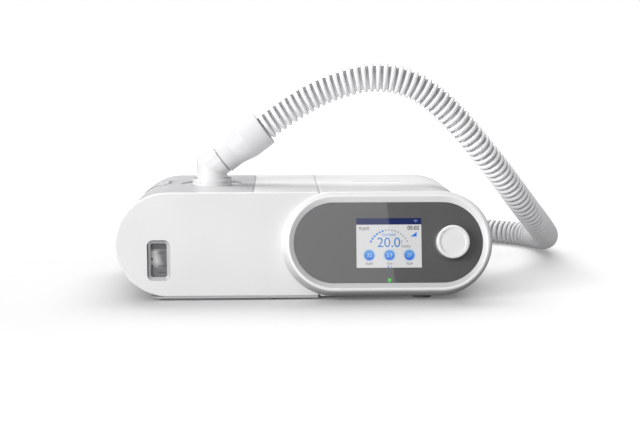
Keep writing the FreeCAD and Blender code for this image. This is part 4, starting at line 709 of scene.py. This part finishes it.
class BREATHING_OT_screen(bpy.types.Operator):
    """Makes the dark fascia glass and the lit picture behind it"""

    bl_idname = "breathing.screen"
    bl_label = "Fascia and screen"

    def execute(self, context):
        sizes = context.scene.screen_sizes
        glass = tuple(context.scene.shell_colours.glass)
        finish = Finish("fascia_glass", glass, 0.08, Coat_Weight=1.0, Coat_Roughness=0.02)
        smear = finish.noise(25)
        finish.put("Base Color", finish.mix(smear, tuple(0.97 * part for part in glass), glass))
        finish.put("Roughness", 0.3 + 0.06 * smear)
        paint(finish.material, "fascia_glass")
        lamp = Finish("status_green", (0.03, 0.2, 0.04), 0.3)
        lamp.put("Emission Color", lamp.mix(lamp.noise(400), (0.05, 0.38, 0.04), (0.07, 0.46, 0.06)))
        lamp.put("Emission Strength", 1.0)
        paint(lamp.material, "status_light")
        low, high = (Vector(corner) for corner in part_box("fascia_glass"))
        middle = (low + high) / 2
        half = 2 * MM / 2
        self.plane = (Matrix.Translation(middle) @ Matrix.Rotation(-sizes.lean, 4, "X")
                      @ Matrix.Translation((0, -half, 0)) @ Matrix.Rotation(math.radians(90), 4, "X"))
        self.glow = sizes.glow
        self.field(sizes)
        self.gauge()
        self.badges()
        self.words()
        return {"FINISHED"}

    def flat(self, work, name, colour, lift, fade=None):
        """Lays a flat mesh, drawn in millimetres about the fascia's middle, on the glass."""
        bmesh.ops.scale(work, vec=(MM, MM, MM), verts=work.verts)
        bmesh.ops.translate(work, vec=(0, 0, lift * MM), verts=work.verts)
        bmesh.ops.transform(work, matrix=self.plane, verts=work.verts)
        mesh = bpy.data.meshes.new(name)
        work.to_mesh(mesh)
        work.free()
        return finish_piece(mesh, name, lit(name, colour, self.glow, fade), "housing")

    def panel(self, work, x, y, width, height):
        made = bmesh.ops.create_grid(work, x_segments=1, y_segments=1, size=0.5)
        bmesh.ops.scale(work, vec=(width, height, 1), verts=made["verts"])
        bmesh.ops.translate(work, vec=(x, y, 0), verts=made["verts"])

    def spot(self, work, x, y, radius, sides=24):
        made = bmesh.ops.create_circle(work, cap_ends=True, segments=sides, radius=radius)
        bmesh.ops.translate(work, vec=(x, y, 0), verts=made["verts"])

    def field(self, sizes):
        width, height = sizes.width / MM, sizes.height / MM
        work = bmesh.new()
        self.panel(work, 0.3, -0.3, width, height)
        self.flat(work, "screen_field", (0.70, 0.70, 0.71), 0.03)
        work = bmesh.new()
        self.panel(work, 0.3, 17.3, width, 5.3)
        self.flat(work, "screen_title", (0.004, 0.014, 0.10), 0.06)

    def gauge(self):
        blue, grey = bmesh.new(), bmesh.new()
        for number in range(15):
            angle = math.radians(154.3 - 9.16 * number)
            x, y = 0.33 + 16.4 * math.cos(angle), -6.2 + 16.4 * math.sin(angle)
            self.spot(blue if number < 6 else grey, x, y, 0.88 if number < 6 else 0.75)
        self.spot(grey, 2.1, -19.7, 0.7)
        self.flat(blue, "gauge_blue", (0.02, 0.21, 0.66), 0.06)
        self.flat(grey, "gauge_grey", (0.36, 0.40, 0.45), 0.06)

    def badges(self):
        work = bmesh.new()
        dots = bmesh.new()
        for x in (-15.9, 0.6, 16.9):
            self.spot(work, x, -10.3, 4.3, 48)
            for number in range(30):
                turn = math.radians(12 * number)
                self.spot(dots, x + 5 * math.cos(turn), -10.3 + 5 * math.sin(turn), 0.3, 12)
        self.flat(dots, "badge_rings", (0.20, 0.48, 0.80), 0.06)
        low, high = ((self.plane @ Vector((0, y * MM, 0))).z for y in (-14.6, -6.0))
        self.flat(work, "badges", (0.03, 0.16, 0.66), 0.06, ((0.12, 0.36, 0.76), low, high))
        work = bmesh.new()
        bmesh.ops.contextual_create(work, geom=[work.verts.new(corner) for corner in
                                                ((18.0, 4.8, 0), (23.1, 4.8, 0), (23.1, 8.7, 0))])
        self.spot(work, -0.4, -19.7, 0.75)
        self.flat(work, "screen_marks", (0.02, 0.20, 0.68), 0.06)

    def words(self):
        """Plain numbers, and rows of small blocks where a real screen has its captions."""
        self.numbers("screen_value", [("20.0", 0.1, -0.3, 7.9)], (0.03, 0.22, 0.60), 0.09)
        self.numbers("badge_values", [("32", -15.9, -10.3, 2.9), ("5.9", 0.6, -10.3, 2.9),
                                      ("27", 16.9, -10.3, 2.9)], (0.50, 0.68, 0.90), 0.09)
        self.numbers("screen_clock", [("05:02", 20.4, 11.8, 3.1)], (0.04, 0.04, 0.05), 0.09, 0.1)
        work = bmesh.new()
        for x, y, width, height, count in ((-20.0, 11.4, 8.7, 2.5, 4), (-15.9, -17.2, 6.3, 1.9, 4),
                                           (0.6, -17.2, 4.8, 1.9, 3), (16.9, -17.2, 5.2, 1.9, 3),
                                           (14.2, -3.2, 7.4, 1.8, 5), (10.6, 0.3, 1.4, 2.6, 1)):
            self.blocks(work, x, y, width, height, count)
        self.flat(work, "caption_blocks", (0.10, 0.10, 0.11), 0.06)
        work = bmesh.new()
        self.blocks(work, 0.2, 6.3, 12.1, 2.0, 7)
        self.flat(work, "gauge_caption", (0.02, 0.24, 0.68), 0.06)
        work = bmesh.new()
        for radius in (0.7, 2.0):
            self.bow(work, 22.3, 16.2, radius)
        self.flat(work, "signal_mark", (0.28, 0.40, 0.72), 0.09)

    def blocks(self, work, x, y, width, height, count):
        """A caption that can't be read: one hollow or solid block for each letter."""
        pitch = width / count
        for number in range(count):
            middle = x - width / 2 + pitch * (number + 0.5)
            for side in (-1, 1):
                self.panel(work, middle + side * 0.27 * pitch, y, 0.17 * pitch, height)
            bar = (0.42, -0.42, 0)[number % 3] * height
            self.panel(work, middle, y + bar, 0.54 * pitch, 0.17 * height)

    def bow(self, work, x, y, radius):
        """A quarter ring, open side down."""
        inner, outer = ([work.verts.new((x + size * math.sin(angle), y + size * math.cos(angle), 0))
                         for angle in (math.radians(-45 + 15 * step) for step in range(7))]
                        for size in (radius - 0.22, radius + 0.22))
        edges = [work.edges.new(pair) for row in (inner, outer) for pair in zip(row, row[1:])]
        bmesh.ops.bridge_loops(work, edges=edges)

    def numbers(self, name, words, colour, lift, weight=0.0):
        work = bmesh.new()
        for text, x, y, height in words:
            curve = bpy.data.curves.new(name, "FONT")
            curve.body = text
            curve.size = height / 0.70
            curve.offset = weight
            curve.align_x = "CENTER"
            curve.align_y = "CENTER"
            carrier = bpy.data.objects.new(name, curve)
            bpy.context.collection.objects.link(carrier)
            bpy.context.view_layer.update()
            mesh = bpy.data.meshes.new_from_object(carrier)
            mesh.transform(Matrix.Translation((x, y, 0)))
            work.from_mesh(mesh)
            bpy.data.objects.remove(carrier)
        self.flat(work, name, colour, lift)


class BREATHING_PT_panel(bpy.types.Panel):
    """Lists the sizes and the operators in the sidebar"""

    bl_label = "Breathing Machine"
    bl_space_type = "VIEW_3D"
    bl_region_type = "UI"
    bl_category = "Breathing Machine"

    def draw(self, context):
        for operator in OPERATORS:
            self.layout.operator(operator.bl_idname)
        for name, group in GROUPS.items():
            box = self.layout.box()
            for field in group.__annotations__:
                box.prop(getattr(context.scene, name), field)


OPERATORS = (BREATHING_OT_stage, BREATHING_OT_hose, BREATHING_OT_casing, BREATHING_OT_tank,
             BREATHING_OT_screen)


def register():
    for group in GROUPS.values():
        bpy.utils.register_class(group)
    for name, group in GROUPS.items():
        setattr(bpy.types.Scene, name, PointerProperty(type=group))
    for kind in (*OPERATORS, BREATHING_PT_panel):
        bpy.utils.register_class(kind)


def unregister():
    for kind in reversed((*OPERATORS, BREATHING_PT_panel)):
        bpy.utils.unregister_class(kind)
    for name in GROUPS:
        delattr(bpy.types.Scene, name)
    for group in reversed(GROUPS.values()):
        bpy.utils.unregister_class(group)


def main():
    register()
    for operator in OPERATORS:
        module, name = operator.bl_idname.split(".")
        getattr(getattr(bpy.ops, module), name)()


if __name__ == "__main__":
    main()
